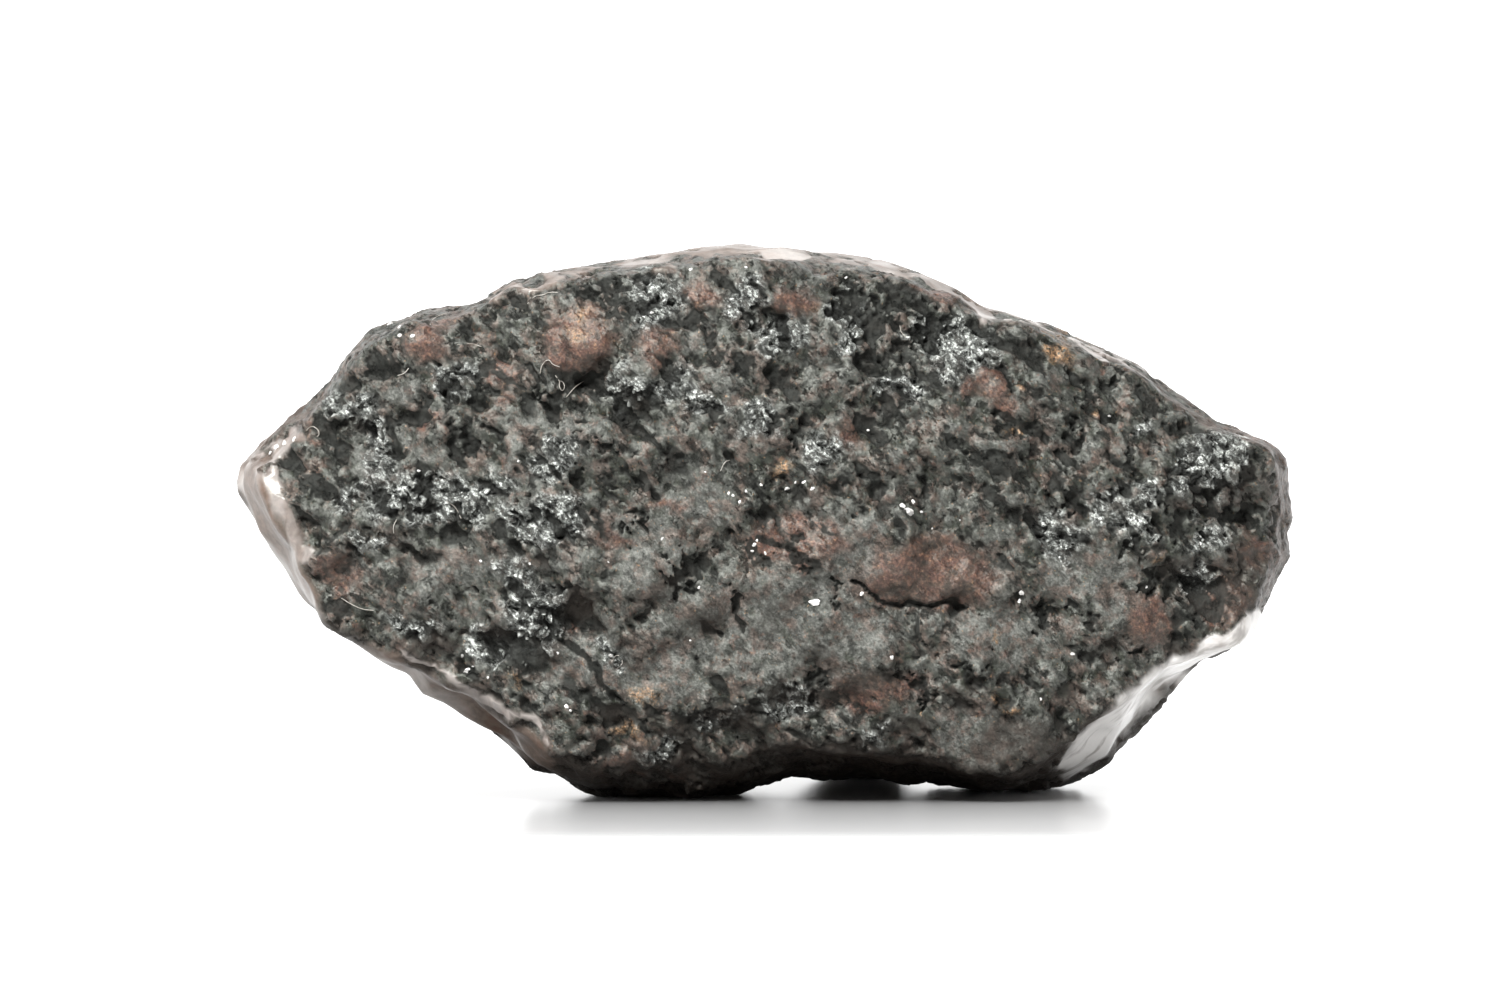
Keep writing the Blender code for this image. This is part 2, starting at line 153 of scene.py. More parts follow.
# Narrow cracks of the front face as (points, half width, depth).
CRACKS = (
    (((4.2, 10.5), (5.0, 9.9), (5.9, 9.5), (6.8, 9.1), (7.7, 9.3), (8.6, 9.7), (9.4, 9.1)), 0.17, 0.46),
    (((6.8, 9.2), (7.0, 8.5), (7.5, 7.6)), 0.14, 0.25),
    (((-8.3, 20.0), (-7.0, 19.1), (-6.3, 18.0), (-5.4, 17.2), (-4.6, 16.2)), 0.20, 0.30),
    (((-9.8, 7.9), (-8.8, 7.2), (-8.0, 6.4), (-7.4, 5.6), (-6.6, 4.6)), 0.22, 0.28),
    (((-2.9, 8.4), (-2.2, 7.9)), 0.22, 0.30),
    (((-0.2, 12.6), (1.2, 12.0), (2.4, 11.4)), 0.20, 0.22),
    (((11.4, 18.4), (12.4, 17.6), (13.2, 16.9)), 0.28, 0.32),
    (((-1.6, 9.3), (-1.0, 8.1)), 0.20, 0.30),
)

# Polished stretches along the edges as (points along them, half width, paleness), seen from the front. The
# paleness is a painted reflection of the bright room on the polished crust.
POLISHED = (
    (((14.9, 1.6), (16.2, 3.1), (18.1, 5.0), (19.3, 5.9)), 1.15, 1.0),
    (((19.3, 6.1), (22.0, 7.5), (23.2, 8.3)), 0.65, 0.85),
    (((-24.6, 15.4), (-23.6, 12.4), (-21.9, 9.8)), 1.10, 0.0),
    (((-23.5, 15.6), (-22.7, 13.6), (-21.6, 11.6)), 0.50, 0.20),
    (((-23.4, 16.4), (-22.0, 17.1)), 0.45, 0.24),
    (((-18.8, 6.6), (-16.4, 5.4), (-13.4, 4.0), (-10.8, 2.0)), 0.9, 0.0),
    (((-17.1, 6.9), (-15.7, 6.4), (-14.3, 5.4), (-12.9, 4.8), (-11.0, 3.9), (-10.3, 2.8)), 0.22, 0.22),
    (((-13.3, 23.6), (-9.1, 24.9), (-5.9, 25.5), (-3.0, 26.0), (-1.0, 26.1)), 0.35, 0.04),
    (((-1.0, 26.1), (4.2, 25.7), (7.9, 24.5), (9.3, 23.9)), 0.45, 0.16),
    (((9.3, 23.9), (15.8, 21.6), (20.5, 19.0), (23.9, 17.1)), 0.35, 0.34),
)

# Rounded grains of the front face as (centre, half width and half height, rise).
RAISED = (
    ((-8.7, 21.9), (1.9, 1.5), 0.34), ((7.7, 10.8), (3.4, 1.7), 0.08), ((10.5, 19.8), (0.7, 0.8), 0.26),
    ((-15.9, 21.5), (1.2, 0.9), 0.22), ((23.6, 11.6), (0.9, 0.5), 0.30), ((-5.0, 21.9), (1.0, 0.7), 0.18),
    ((1.5, 23.4), (1.1, 0.7), 0.20), ((18.0, 8.4), (1.1, 1.0), 0.16),
)

# Pale flecks on the front face as (across, up, width).
FLECKS = (
    (6.7, 13.7, 0.56), (6.4, 14.0, 0.28), (6.9, 14.2, 0.19), (7.3, 13.7, 0.19), (7.8, 12.9, 0.14),
    (12.0, 9.9, 0.28), (11.9, 9.5, 0.19), (4.5, 9.9, 0.19), (5.9, 6.9, 0.23), (14.4, 7.0, 0.19),
    (17.9, 10.1, 0.14), (1.0, 14.8, 0.23), (1.4, 15.1, 0.14), (1.8, 15.1, 0.19), (2.2, 14.8, 0.23),
    (-0.9, 14.7, 0.14), (-1.5, 14.5, 0.14), (-1.2, 14.2, 0.14), (-1.7, 14.6, 0.14), (-0.5, 12.2, 0.19),
    (-0.6, 11.9, 0.14), (0.0, 11.8, 0.14), (-0.4, 12.4, 0.14), (2.3, 9.5, 0.42), (-3.1, 10.2, 0.14),
    (-14.0, 6.2, 0.37), (-13.7, 6.4, 0.14), (-14.2, 6.9, 0.19), (-14.0, 7.1, 0.14), (-9.7, 7.1, 0.14),
    (-0.2, 15.0, 0.14), (-4.8, 12.5, 0.14), (-11.0, 11.3, 0.14), (-17.8, 22.4, 0.23), (-17.2, 22.3, 0.19),
    (-17.1, 21.9, 0.23), (-16.5, 21.9, 0.19), (-0.9, 25.1, 0.14), (-3.5, 25.0, 0.19), (-23.4, 16.3, 0.28),
    (-23.1, 16.6, 0.33), (-22.7, 16.8, 0.28), (-22.2, 17.0, 0.23), (-13.0, 5.9, 0.14), (-9.3, 4.6, 0.23),
    (-9.1, 4.4, 0.14), (-7.2, 7.0, 0.23), (20.5, 12.1, 0.14), (16.2, 18.1, 0.14), (3.8, 24.6, 0.14),
    (-5.3, 23.0, 0.14), (-2.8, 15.6, 0.09), (4.8, 17.5, 0.14), (9.1, 13.3, 0.09), (12.9, 4.9, 0.14),
    (-3.5, 7.7, 0.09), (-7.3, 11.4, 0.09), (-13.3, 11.4, 0.14), (-16.2, 15.6, 0.14), (-11.5, 16.1, 0.14),
)

# Fibres of lint on the front face, each a chain of places.
LINT = (
    ((-11.1, 23.4), (-10.8, 23.7), (-10.4, 23.8), (-10.1, 23.9), (-9.7, 23.9)),
    ((-10.5, 20.2), (-10.4, 20.6), (-10.1, 20.8), (-9.9, 20.6), (-9.6, 20.5)),
    ((-14.4, 21.5), (-13.8, 21.5), (-13.3, 21.4)),
    ((-15.7, 22.4), (-15.5, 22.7), (-15.0, 22.9)),
    ((-9.8, 20.1), (-9.6, 19.8), (-9.6, 19.5), (-9.5, 19.4), (-9.4, 19.7), (-9.6, 19.8)),
    ((-9.3, 19.1), (-8.9, 19.5), (-8.5, 19.8)),
    ((-21.6, 17.4), (-21.4, 17.6), (-21.2, 17.6), (-21.0, 17.3), (-21.1, 17.1)),
    ((-17.3, 13.3), (-17.4, 13.0), (-17.4, 12.7)),
    ((-17.2, 20.0), (-16.9, 20.2), (-16.7, 20.4)),
    ((-7.2, 6.7), (-6.9, 7.0), (-6.7, 6.7), (-6.9, 6.4)),
    ((-14.9, 14.2), (-14.5, 13.9), (-14.2, 13.4)),
    ((-19.9, 9.6), (-19.4, 9.3), (-18.9, 9.1), (-18.4, 9.0)),
    ((6.3, 22.4), (6.4, 22.1), (6.6, 21.8)),
    ((-2.1, 15.6), (-1.9, 16.0), (-1.7, 16.1)),
)

# How noise moves the edges of patches, as (size of its forms, strength) in millimetres, and its two shifts.
EDGE_NOISES = ((1.4, 1.00), (0.5, 0.44))
ACROSS_SHIFT = 3.7
UP_SHIFT = 41.2

# The other noises as (size of their forms in millimetres, shift that makes each unlike the others).
CREST_NOISE = (2.6, 37.7)
PALE_END_NOISE = (3.0, 27.4)
PALE_CLOUD_NOISE = (2.6, 95.3)
BACK_PATCH_NOISE = (4.5, 61.7)
BACK_RUST_NOISE = (3.2, 83.1)
GAP_NOISE = (1.4, 5.1)
SMALL_GAP_NOISE = (0.58, 9.3)
PIT_NOISE = (0.58, 71.9)
WRINKLE_NOISE = (0.36, 17.3)
SWELL_NOISE = (0.95, 29.6)
LEDGE_NOISE = (1.6, 53.9)

# Cells that the surface is broken into as (size in millimetres, seed), and the seeds of the random draws.
LUMP_CELLS = (1.25, 1)
GRAIN_CELLS = (0.48, 5)
FACET_CELLS = (0.55, 11)
GLINT_SEED = 21
FLECK_SEED = 5

# How strong each kind of form is, in millimetres.
LUMP_HEIGHT = 0.27
GRAIN_HEIGHT = 0.13
FACET_STEP = 0.10
WRINKLE_HEIGHT = 0.14
SWELL_HEIGHT = 0.20
LEDGE_HEIGHT = 0.34
GAP_DEPTH = 0.28
SMALL_GAP_DEPTH = 0.17
PIT_DEPTH = 0.32
GLINT_HEIGHT = 0.030

# Depths of the relief that only the shading shows, in metres.
TORN_DEPTH = 0.00016
GRAIN_BUMP = 0.00008
FINE_BUMP = 0.00004
CRYSTAL_BUMP = 0.00006

# How steep the facets are, and how far they lean back to the light where they are bright.
FACET_SLOPE = 0.60
FACET_RISE = 0.45

# Lumps and grains are domes: raised within this squared distance of a cell's middle, sunk beyond it.
DOME_LIMIT = 0.35

# Gaps are longer than wide, and ledges run round the stone: their noise is squeezed by these.
GAP_STRETCH = 0.55
LEDGE_STRETCH = (0.22, 1.0, 0.22)

# How far noise shifts pits and the ends of the polished top, in millimetres.
PIT_SHAKE = 0.8
CREST_SHAKE = 3.2

# The share of the relief that walls, the edge where the face turns, and the back have.
WALL_SHARE = 0.30
EDGE_SHARE = 0.35
BACK_SHARE = 0.75

# The painted pale reflection on the polish fades between these depths, in millimetres behind the middle.
# Noise makes them uneven.
PALE_DEPTHS = (-5.5, 3.5)
PALE_RAGGED = 9.0

# How strong the faint pale clouds on the walls are.
WALL_PALE = 0.20

# Where the face runs on round the edge, as (how far, start, full) with start and full in millimetres: at
# the top by height, at the right by length and above the lower right. The right edge is rusty as well.
ROUND_TOP = (0.50, 16.0, 20.0)
ROUND_RIGHT = (0.70, 20.5, 22.5)
ROUND_RIGHT_UP = (8.0, 9.5)
RUSTY_EDGE = (0.7, 21.0, 23.0)

# Ranges in which one kind of surface gives way to another, as (nothing of it, all of it).
FACING_FRONT = (0.25, 0.60)
FACING_BACK = (0.20, 0.70)
FACING_UP = (0.40, 0.85)
# Faces turned down and the strip near the floor are painted brown-black as shade.
FACING_DOWN = (0.15, 0.65)
NEAR_FLOOR = (-2.8, -0.8)
PALE_CLOUDS = (0.10, 0.45)
BACK_CRYSTALS = (0.24, 0.40)
BACK_FILM = (0.10, 0.30)
BACK_RUST = (0.26, 0.44)
PIT_RIM = (0.40, 0.85)
GAP_RIM = (0.20, 0.42)
SMALL_GAP_RIM = (0.16, 0.40)
# From dark lows to light high spots over these heights: partly painted shade in the lows.
HIGH_SPOTS = (-0.20, 0.14)
LUMP_SIDES = (0.05, 0.20)

# The kinds of surface that the material tells apart.
MATERIAL_ZONES = ("wall", "bright", "smooth", "rust", "ochre", "hollow", "high", "polish", "pale", "under")

# A place well in front of the stone, in millimetres, and the length, width and height of a fleck in widths.
IN_FRONT = -40.0
FLECK_SHAPE = (1.15, 0.80, 0.55, 1.0)

# The stage. The picture's scale holds where the stone is widest, and a softbox is (place, width, depth).
PHOTO_WIDTH = 1500
SENSOR_WIDTH = 36.0
CAMERA_TARGET = Vector((-0.715, 0.0, 13.84)) * MM
WIDEST_IN_FRONT = 3.5 * MM
KEY_BOX = ((-0.27, -0.50, 0.58), 0.30, 0.30)
FLOOR_BOX = ((0.0, 0.0, 0.60), 0.70, 0.70)
RIM_BOX = ((0.0, 0.45, 0.70), 0.60, 0.40)


def colour_setting(name, description, red, green, blue):
    """A colour among the add-on's settings."""
    default = (red, green, blue, 1.0)
    return FloatVectorProperty(name=name, description=description, default=default, size=4, subtype="COLOR")


class StoneLooks(bpy.types.PropertyGroup):
    """Sizes and colours of the stone's surface."""

    carving_step: FloatProperty(
        name="Carving step", description="Spacing of the points that are carved", default=0.00012,
        unit="LENGTH", precision=5,
    )
    rounding_passes: IntProperty(
        name="Rounding passes", description="How often the copied solid is smoothed first", default=10
    )
    triangles: IntProperty(name="Triangles", description="Triangles of the finished surface", default=194000)
    front_bias: FloatProperty(
        name="Front bias", description="How much more detail the front face keeps", default=0.02, precision=4,
        subtype="FACTOR",
    )
    relief: FloatProperty(
        name="Relief", description="Strength of the carving", default=0.80, subtype="FACTOR"
    )
    # Also the colour of the lows of the face, where it is partly painted shade.
    dark_colour: colour_setting("Dark", "Darkest stone", 0.009, 0.011, 0.007)
    grey_colour: colour_setting("Grey", "Main grey of the face", 0.070, 0.072, 0.064)
    dust_colour: colour_setting("Dust", "Grey film of dust", 0.105, 0.106, 0.097)
    shadow_colour: colour_setting("Green black", "Green-black clouds in the grey", 0.018, 0.021, 0.014)
    brown_colour: colour_setting("Brown", "Warm clouds in the grey", 0.080, 0.058, 0.048)
    rust_colour: colour_setting("Rust", "Brown-red grains", 0.060, 0.027, 0.021)
    amber_colour: colour_setting("Amber", "Lighter brown in the red", 0.112, 0.056, 0.038)
    ochre_colour: colour_setting("Ochre", "Small orange spots", 0.27, 0.16, 0.085)
    # Lighter grey of the bright patches, partly a painted sheen.
    splinter_and_sheen_colour: colour_setting("Splinters", "Grey stone between the crystals", 0.122, 0.127, 0.118)
    # Pale crystals, their colour partly a painted glint.
    crystal_and_glint_colour: colour_setting("Crystals", "Pale glinting crystals", 0.52, 0.54, 0.51)
    crust_colour: colour_setting("Crust", "Lighter crust of the sides", 0.078, 0.054, 0.041)
    umber_colour: colour_setting("Umber", "Darker crust of the sides", 0.036, 0.021, 0.015)
    # Near white: the painted reflection on the polished edges, and the faint pale clouds of the walls.
    pale_reflection_colour: colour_setting("Polish", "Pale polished crust", 0.88, 0.86, 0.84)
    tan_colour: colour_setting("Tan", "Tan smooth crust", 0.135, 0.098, 0.078)
    # Brown-black, painted as shade on the underside and near the floor, and on the brown patches in front.
    under_colour: colour_setting("Underside", "Brown-black stone low down", 0.022, 0.015, 0.012)


class DirtLooks(bpy.types.PropertyGroup):
    """Sizes and colours of what lies on the stone."""

    fleck_shade: colour_setting("Fleck shade", "Grey clouds in the flecks", 0.22, 0.20, 0.18)
    fleck_colour: colour_setting("Flecks", "Pale mineral flecks", 0.80, 0.79, 0.76)
    lint_shade: colour_setting("Lint shade", "Darker stretches of the fibres", 0.30, 0.27, 0.23)
    lint_colour: colour_setting("Lint", "Short pale fibres", 0.55, 0.52, 0.47)
    lint_width: FloatProperty(
        name="Lint width", description="Thickness of a fibre", default=0.00003, unit="LENGTH", precision=5
    )


class StageLooks(bpy.types.PropertyGroup):
    """Camera, lights and floor."""

    lens: FloatProperty(name="Lens", description="Focal length", default=150.0, unit="CAMERA")
    camera_height: FloatProperty(
        name="Camera angle", description="How far the camera looks down", default=math.radians(2.5),
        subtype="ANGLE",
    )
    pixel: FloatProperty(
        name="Pixel", description="Real width of one picture point at the stone", default=0.00004766,
        unit="LENGTH", precision=7,
    )
    floor_size: FloatProperty(name="Floor", description="Width of the floor", default=0.7, unit="LENGTH")
    floor_colour: colour_setting("Floor colour", "Pale floor", 0.86, 0.86, 0.86)
    floor_gloss_end: FloatProperty(
        name="Gloss end", description="Where the floor's gloss ends in front of the stone", default=-0.024,
        unit="LENGTH",
    )
    floor_power: FloatProperty(
        name="Floor light", description="Power of the light over the floor", default=6.0, unit="POWER"
    )
    key_power: FloatProperty(
        name="Key light", description="Power of the front softbox", default=16.2, unit="POWER"
    )
    rim_power: FloatProperty(
        name="Rim light", description="Power of the light behind", default=3.0, unit="POWER"
    )
    room_front: FloatProperty(name="Room in front", description="Light from the room in front", default=0.10)
    room_back: FloatProperty(name="Room behind", description="Light from the room behind", default=2.0)
    room_above: FloatProperty(name="Room above", description="Share of that light from above", default=0.25)


def bell(distance, reach):
    """A smooth fall from 1 in the middle to 0 at the reach."""
    t = numpy.clip(distance / reach, 0.0, 1.0)
    return (1.0 - t * t) ** 2


def steps(values, low, high):
    """A smooth climb from 0 at low to 1 at high."""
    t = numpy.clip((values - low) / (high - low), 0.0, 1.0)
    return t * t * (3.0 - 2.0 * t)


def scatter(cells, seed):
    """Three numbers from 0 to 1 for every whole-number cell, the same ones each time."""
    mix = cells @ numpy.array((73856093, 19349663, 83492791)) + seed * 7919
    numbers = []
    for _ in range(3):
        mix = (mix ^ (mix >> 15)) * 668265263 & 0xFFFFFFFF
        mix = (mix ^ (mix >> 13)) * 374761393 & 0xFFFFFFFF
        numbers.append((mix ^ (mix >> 16)) / 0xFFFFFFFF)
    return numpy.stack(numbers, axis=1)


def cell_pattern(places, size, seed):
    """Breaks space into uneven cells of a size. Gives, for each place, the way from its cell's middle
    in millimetres, the distance to it in cells, and the cell's own three numbers."""
    grid = places / size
    corner = numpy.floor(grid).astype(numpy.int64)
    nearest = numpy.full(len(places), numpy.inf)
    way = numpy.zeros_like(places)
    cell = numpy.zeros_like(corner)
    for step in numpy.ndindex(3, 3, 3):
        candidate = corner + numpy.array(step) - 1
        gap = grid - candidate - scatter(candidate, seed)
        distance = numpy.linalg.norm(gap, axis=1)
        closer = distance < nearest
        nearest[closer] = distance[closer]
        way[closer] = gap[closer]
        cell[closer] = candidate[closer]
    return way * size, nearest, scatter(cell, seed + 1)


def noise_values(places, size, shift):
    """Smooth noise about 0 with lumps of a size."""
    moved = places / size + shift
    return numpy.array([noise.noise(place) for place in moved.tolist()])


def ragged_values(places, size, shift):
    """Rough-edged noise about 0, whose forms have a size and run long from top left to bottom right."""
    along = (places[:, 0] - places[:, 2]) * GAP_STRETCH
    across = places[:, 0] + places[:, 2]
    moved = numpy.stack((along, places[:, 1], across), axis=1) / size + shift
    return numpy.array([noise.fractal(place, 0.8, 2.1, 4) for place in moved.tolist()])


def wandering(flat, places):
    """The face's flat places, shifted unevenly, so that patch edges come out irregular."""
    for size, strength in EDGE_NOISES:
        across = noise_values(places, size, ACROSS_SHIFT)
        up = noise_values(places, size, UP_SHIFT)
        flat = flat + numpy.stack((across, up), axis=1) * strength
    return flat


def patch_cover(flat, patches):
    """How strongly oval patches cover each place, from 0 to 1."""
    cover = numpy.zeros(len(flat))
    for centre, reach in patches:
        distance = numpy.linalg.norm((flat - centre) / reach, axis=1)
        cover = numpy.maximum(cover, 1.0 - steps(distance, 0.65, 1.25))
    return cover


def distance_to_line(flat, points):
    """The shortest distance from each place to a chain of points."""
    nearest = numpy.full(len(flat), numpy.inf)
    for start, end in zip(points, points[1:]):
        start = numpy.array(start)
        along = numpy.array(end) - start
        share = numpy.clip((flat - start) @ along / (along @ along), 0.0, 1.0)
        gap = flat - (start + share[:, None] * along)
        nearest = numpy.minimum(nearest, numpy.linalg.norm(gap, axis=1))
    return nearest


def new_object(name, mesh):
    """Makes an object in the scene."""
    item = bpy.data.objects.new(name, mesh)
    bpy.context.scene.collection.objects.link(item)
    return item


def modified_mesh(item):
    """The mesh of an object with its modifiers applied. The object is removed."""
    bpy.context.view_layer.update()
    graph = bpy.context.evaluated_depsgraph_get()
    mesh = bpy.data.meshes.new_from_object(item.evaluated_get(graph))
    old = item.data
    bpy.data.objects.remove(item, do_unlink=True)
    bpy.data.batch_remove([old])
    return mesh


def even_copy(looks):
    """The solid stone, evenly remeshed and rounded, in millimetres."""
    mesh = frame["nodes"][STONE_NODE].data.copy()
    mesh.transform(Matrix.Scale(1.0 / MM, 4))
    item = new_object("even_copy", mesh)
    remesh = item.modifiers.new("even_faces", "REMESH")
    remesh.mode = "VOXEL"
    remesh.voxel_size = looks.carving_step / MM
    rounding = item.modifiers.new("rounding", "SMOOTH")
    rounding.factor = 0.5
    rounding.iterations = looks.rounding_passes
    return modified_mesh(item)


def surface_points(mesh):
    """The places and normals of a mesh's vertices."""
    places = numpy.empty(len(mesh.vertices) * 3)
    mesh.vertices.foreach_get("co", places)
    normals = numpy.empty(len(mesh.vertices) * 3, dtype=numpy.float32)
    mesh.vertex_normals.foreach_get("vector", normals)
    return places.reshape(-1, 3), normals.reshape(-1, 3).astype(float)


def keep_values(mesh, name, values):
    """Stores one number for each vertex."""
    layer = mesh.attributes.new(name, "FLOAT", "POINT")
    layer.data.foreach_set("value", numpy.ascontiguousarray(values, dtype=numpy.float32))


def broken_facets(places, bright):
    """Small flat faces between ledges. Where the face is bright they lean back to the top light."""
    way, _, numbers = cell_pattern(places, *FACET_CELLS)
    lean = (numbers - 0.5) * 2.0 * FACET_SLOPE
    lean[:, 2] -= FACET_RISE * bright
    return (way * lean).sum(axis=1) + (numbers[:, 1] - 0.5) * FACET_STEP


def raised_lumps(flat):
    """How high the rounded lumps stand at each place."""
    height = numpy.zeros(len(flat))
    for centre, reach, rise in RAISED:
        distance = numpy.linalg.norm((flat - centre) / reach, axis=1)
        height = numpy.maximum(height, rise * bell(distance, 1.25))
    return height


def line_cover(flat, points, width):
    """How strongly a band along a chain of points covers each place, from 0 to 1."""
    return 1.0 - steps(distance_to_line(flat, points), 0.6 * width, width)


def front_cover(places, normals):
    """How much each place belongs to the broken front face, and how much it would if the face ran on
    round the edge, as it does at the top and at the right."""
    across, up = places[:, 0], places[:, 2]
    top, *top_range = ROUND_TOP
    right, *right_range = ROUND_RIGHT
    round_top = top * steps(up, *top_range)
    round_right = right * steps(across, *right_range) * steps(up, *ROUND_RIGHT_UP)
    facing = -normals[:, 1]
    turned = facing + numpy.maximum(round_top, round_right)
    return steps(facing, *FACING_FRONT), steps(turned, *FACING_FRONT)


def polish_cover(places, normals, along_edge, back):
    """How much polished crust each place has, and how strong its painted pale reflection is there."""
    along_crest = along_edge.copy()
    along_crest[:, 0] += CREST_SHAKE * ragged_values(places, *CREST_NOISE) * steps(normals[:, 2], *FACING_UP)
    bands = [(line_cover(along_crest, points, width), pale) for points, width, pale in POLISHED]
    polish = numpy.maximum.reduce([cover for cover, _ in bands]) * (1.0 - back)
    depth = places[:, 1] + PALE_RAGGED * ragged_values(places, *PALE_END_NOISE)
    pale = numpy.maximum.reduce([cover * pale for cover, pale in bands]) * (1.0 - steps(depth, *PALE_DEPTHS))
    return polish, pale


def rust_cover(places, zones):
    """Brown-red stone: the patches in front, noise at the back, the rounded grains and the right edge."""
    rust = patch_cover(zones.flat, RUST_PATCHES) * zones.front
    rust = rust + steps(ragged_values(places, *BACK_RUST_NOISE), *BACK_RUST) * zones.back
    rust = numpy.maximum(rust, 0.95 * zones.rounded)
    edge, *edge_range = RUSTY_EDGE
    return numpy.maximum(rust, edge * zones.turned * steps(places[:, 0], *edge_range))


def under_cover(places, normals, zones):
    """Brown-black colour: painted shade on the underside and on the strip near the floor, and brown patches
    in front.
    """
    under = numpy.maximum(steps(-normals[:, 2], *FACING_DOWN), 0.8 * steps(-places[:, 2], *NEAR_FLOOR))
    under = numpy.maximum(under, 0.75 * patch_cover(zones.flat, BROWN_PATCHES) * zones.front)
    return under * (1.0 - zones.polish)


def surface_zones(places, normals):
    """How strongly each kind of surface shows at each place, from 0 to 1."""
    zones = SimpleNamespace()
    plain = places[:, [0, 2]]
    zones.flat = wandering(plain, places)
    zones.along_edge = 0.6 * plain + 0.4 * zones.flat
    zones.back = steps(normals[:, 1], *FACING_BACK)
    zones.polish, pale = polish_cover(places, normals, zones.along_edge, zones.back)
    flat_front, front = front_cover(places, normals)
    zones.front = front * (1.0 - zones.polish)
    zones.turned = numpy.maximum(zones.front - flat_front, 0.0)
    zones.wall = 1.0 - zones.front - zones.back
    # The painted pale reflection on the polish, joined with faint pale clouds on the walls.
    clouds = steps(ragged_values(places, *PALE_CLOUD_NOISE), *PALE_CLOUDS)
    zones.pale = numpy.maximum(pale, WALL_PALE * zones.wall * clouds)
    patchy = ragged_values(places, *BACK_PATCH_NOISE)
    zones.bright = patch_cover(zones.flat, BRIGHT_PATCHES) * zones.front
    zones.bright = zones.bright + steps(patchy, *BACK_CRYSTALS) * zones.back
    smooth = patch_cover(zones.flat, SMOOTH_PATCHES) * zones.front + steps(-patchy, *BACK_FILM) * zones.back
    zones.smooth = smooth * (1.0 - zones.bright)
    grains = [(centre, reach) for centre, reach, _ in RAISED]
    zones.rounded = patch_cover(zones.along_edge, grains) * zones.front
    zones.rust = rust_cover(places, zones)
    zones.ochre = patch_cover(zones.flat, OCHRE_SPOTS) * zones.front
    zones.under = under_cover(places, normals, zones)
    zones.share = zones.front - (1.0 - EDGE_SHARE) * zones.turned + zones.back * BACK_SHARE
    zones.share = zones.share + zones.wall * WALL_SHARE * (1.0 - zones.polish)
    return zones


def hollow_covers(places, zones):
    """How strongly pits, wide gaps and small gaps cover each place."""
    ragged = ragged_values(places, *GAP_NOISE)
    small_ragged = ragged_values(places, *SMALL_GAP_NOISE)
    rough = 1.0 - 0.75 * zones.smooth
    shaken = zones.flat + PIT_SHAKE * numpy.stack((small_ragged, ragged_values(places, *PIT_NOISE)), axis=1)
    pits = steps(patch_cover(shaken, PITS) + 0.7 * small_ragged, *PIT_RIM)
    pits = pits * zones.front * (1.0 - zones.rounded)
    gaps = steps(ragged, *GAP_RIM) * rough * (1.0 - 0.8 * zones.rounded)
    small_gaps = steps(small_ragged, *SMALL_GAP_RIM) * (0.35 + 0.65 * rough) * (1.0 - 0.5 * zones.rounded)
    return pits, gaps, small_gaps


def rough_relief(places, zones, lumps):
    """Lumps, grains, facets, wrinkles and swells, lower where the stone is smooth, rusty or rounded."""
    _, lump_distance, _ = cell_pattern(places, *LUMP_CELLS)
    _, grain_distance, _ = cell_pattern(places, *GRAIN_CELLS)
    height = LUMP_HEIGHT * (DOME_LIMIT - lump_distance ** 2)
    height += GRAIN_HEIGHT * (DOME_LIMIT - grain_distance ** 2)
    height += broken_facets(places, zones.bright) * (0.35 + 0.65 * zones.bright)
    height += WRINKLE_HEIGHT * noise_values(places, *WRINKLE_NOISE)
    height += SWELL_HEIGHT * noise_values(places, *SWELL_NOISE)
    calm = (1.0 - 0.45 * zones.smooth) * (1.0 - 0.45 * zones.rust) * (1.0 - 0.55 * steps(lumps, *LUMP_SIDES))
    return height * (zones.share * calm)


def cut_cracks(height, zones):
    """Lowers the height along the cracks, and gives how strongly they cover each place."""
    cracks = numpy.zeros(len(height))
    for points, width, depth in CRACKS:
        crack = zones.front * bell(distance_to_line(zones.along_edge, points), width)
        cracks = numpy.maximum(cracks, crack)
        height -= depth * crack
    return cracks


def move_vertices(mesh, places):
    """Moves a mesh's vertices, and keeps them all above the floor."""
    places[:, 2] = numpy.maximum(places[:, 2], LOWEST.z / MM)
    mesh.vertices.foreach_set("co", places.ravel())
    mesh.update()


def carve(mesh, looks):
    """Carves the relief and stores how strongly each kind of surface shows."""
    places, normals = surface_points(mesh)
    zones = surface_zones(places, normals)
    pits, gaps, small_gaps = hollow_covers(places, zones)
    lumps = raised_lumps(zones.flat) * zones.front
    height = rough_relief(places, zones, lumps)
    # How high each place stands. The material uses it to paint the lows darker: painted shade.
    zones.high = steps(height, *HIGH_SPOTS)
    height -= (GAP_DEPTH * gaps + SMALL_GAP_DEPTH * small_gaps) * zones.share * (1.0 - 0.6 * zones.rust)
    height -= PIT_DEPTH * pits
    height += lumps
    height += LEDGE_HEIGHT * noise_values(places * LEDGE_STRETCH, *LEDGE_NOISE) * zones.wall
    cracks = cut_cracks(height, zones)
    height *= looks.relief
    # The hollows are stored so that the material paints them nearly black as shade.
    hollows = (pits, 0.85 * gaps * zones.share, 0.6 * small_gaps * zones.share, steps(cracks, 0.0, 0.4))
    zones.hollow = numpy.maximum.reduce(hollows)
    places += normals * height[:, None]
    move_vertices(mesh, places)
    for name in ("front", *MATERIAL_ZONES):
        keep_values(mesh, name, getattr(zones, name))


def stored_values(mesh, name):
    """The numbers stored for each vertex."""
    values = numpy.empty(len(mesh.vertices), dtype=numpy.float32)
    mesh.attributes[name].data.foreach_get("value", values)
    return values


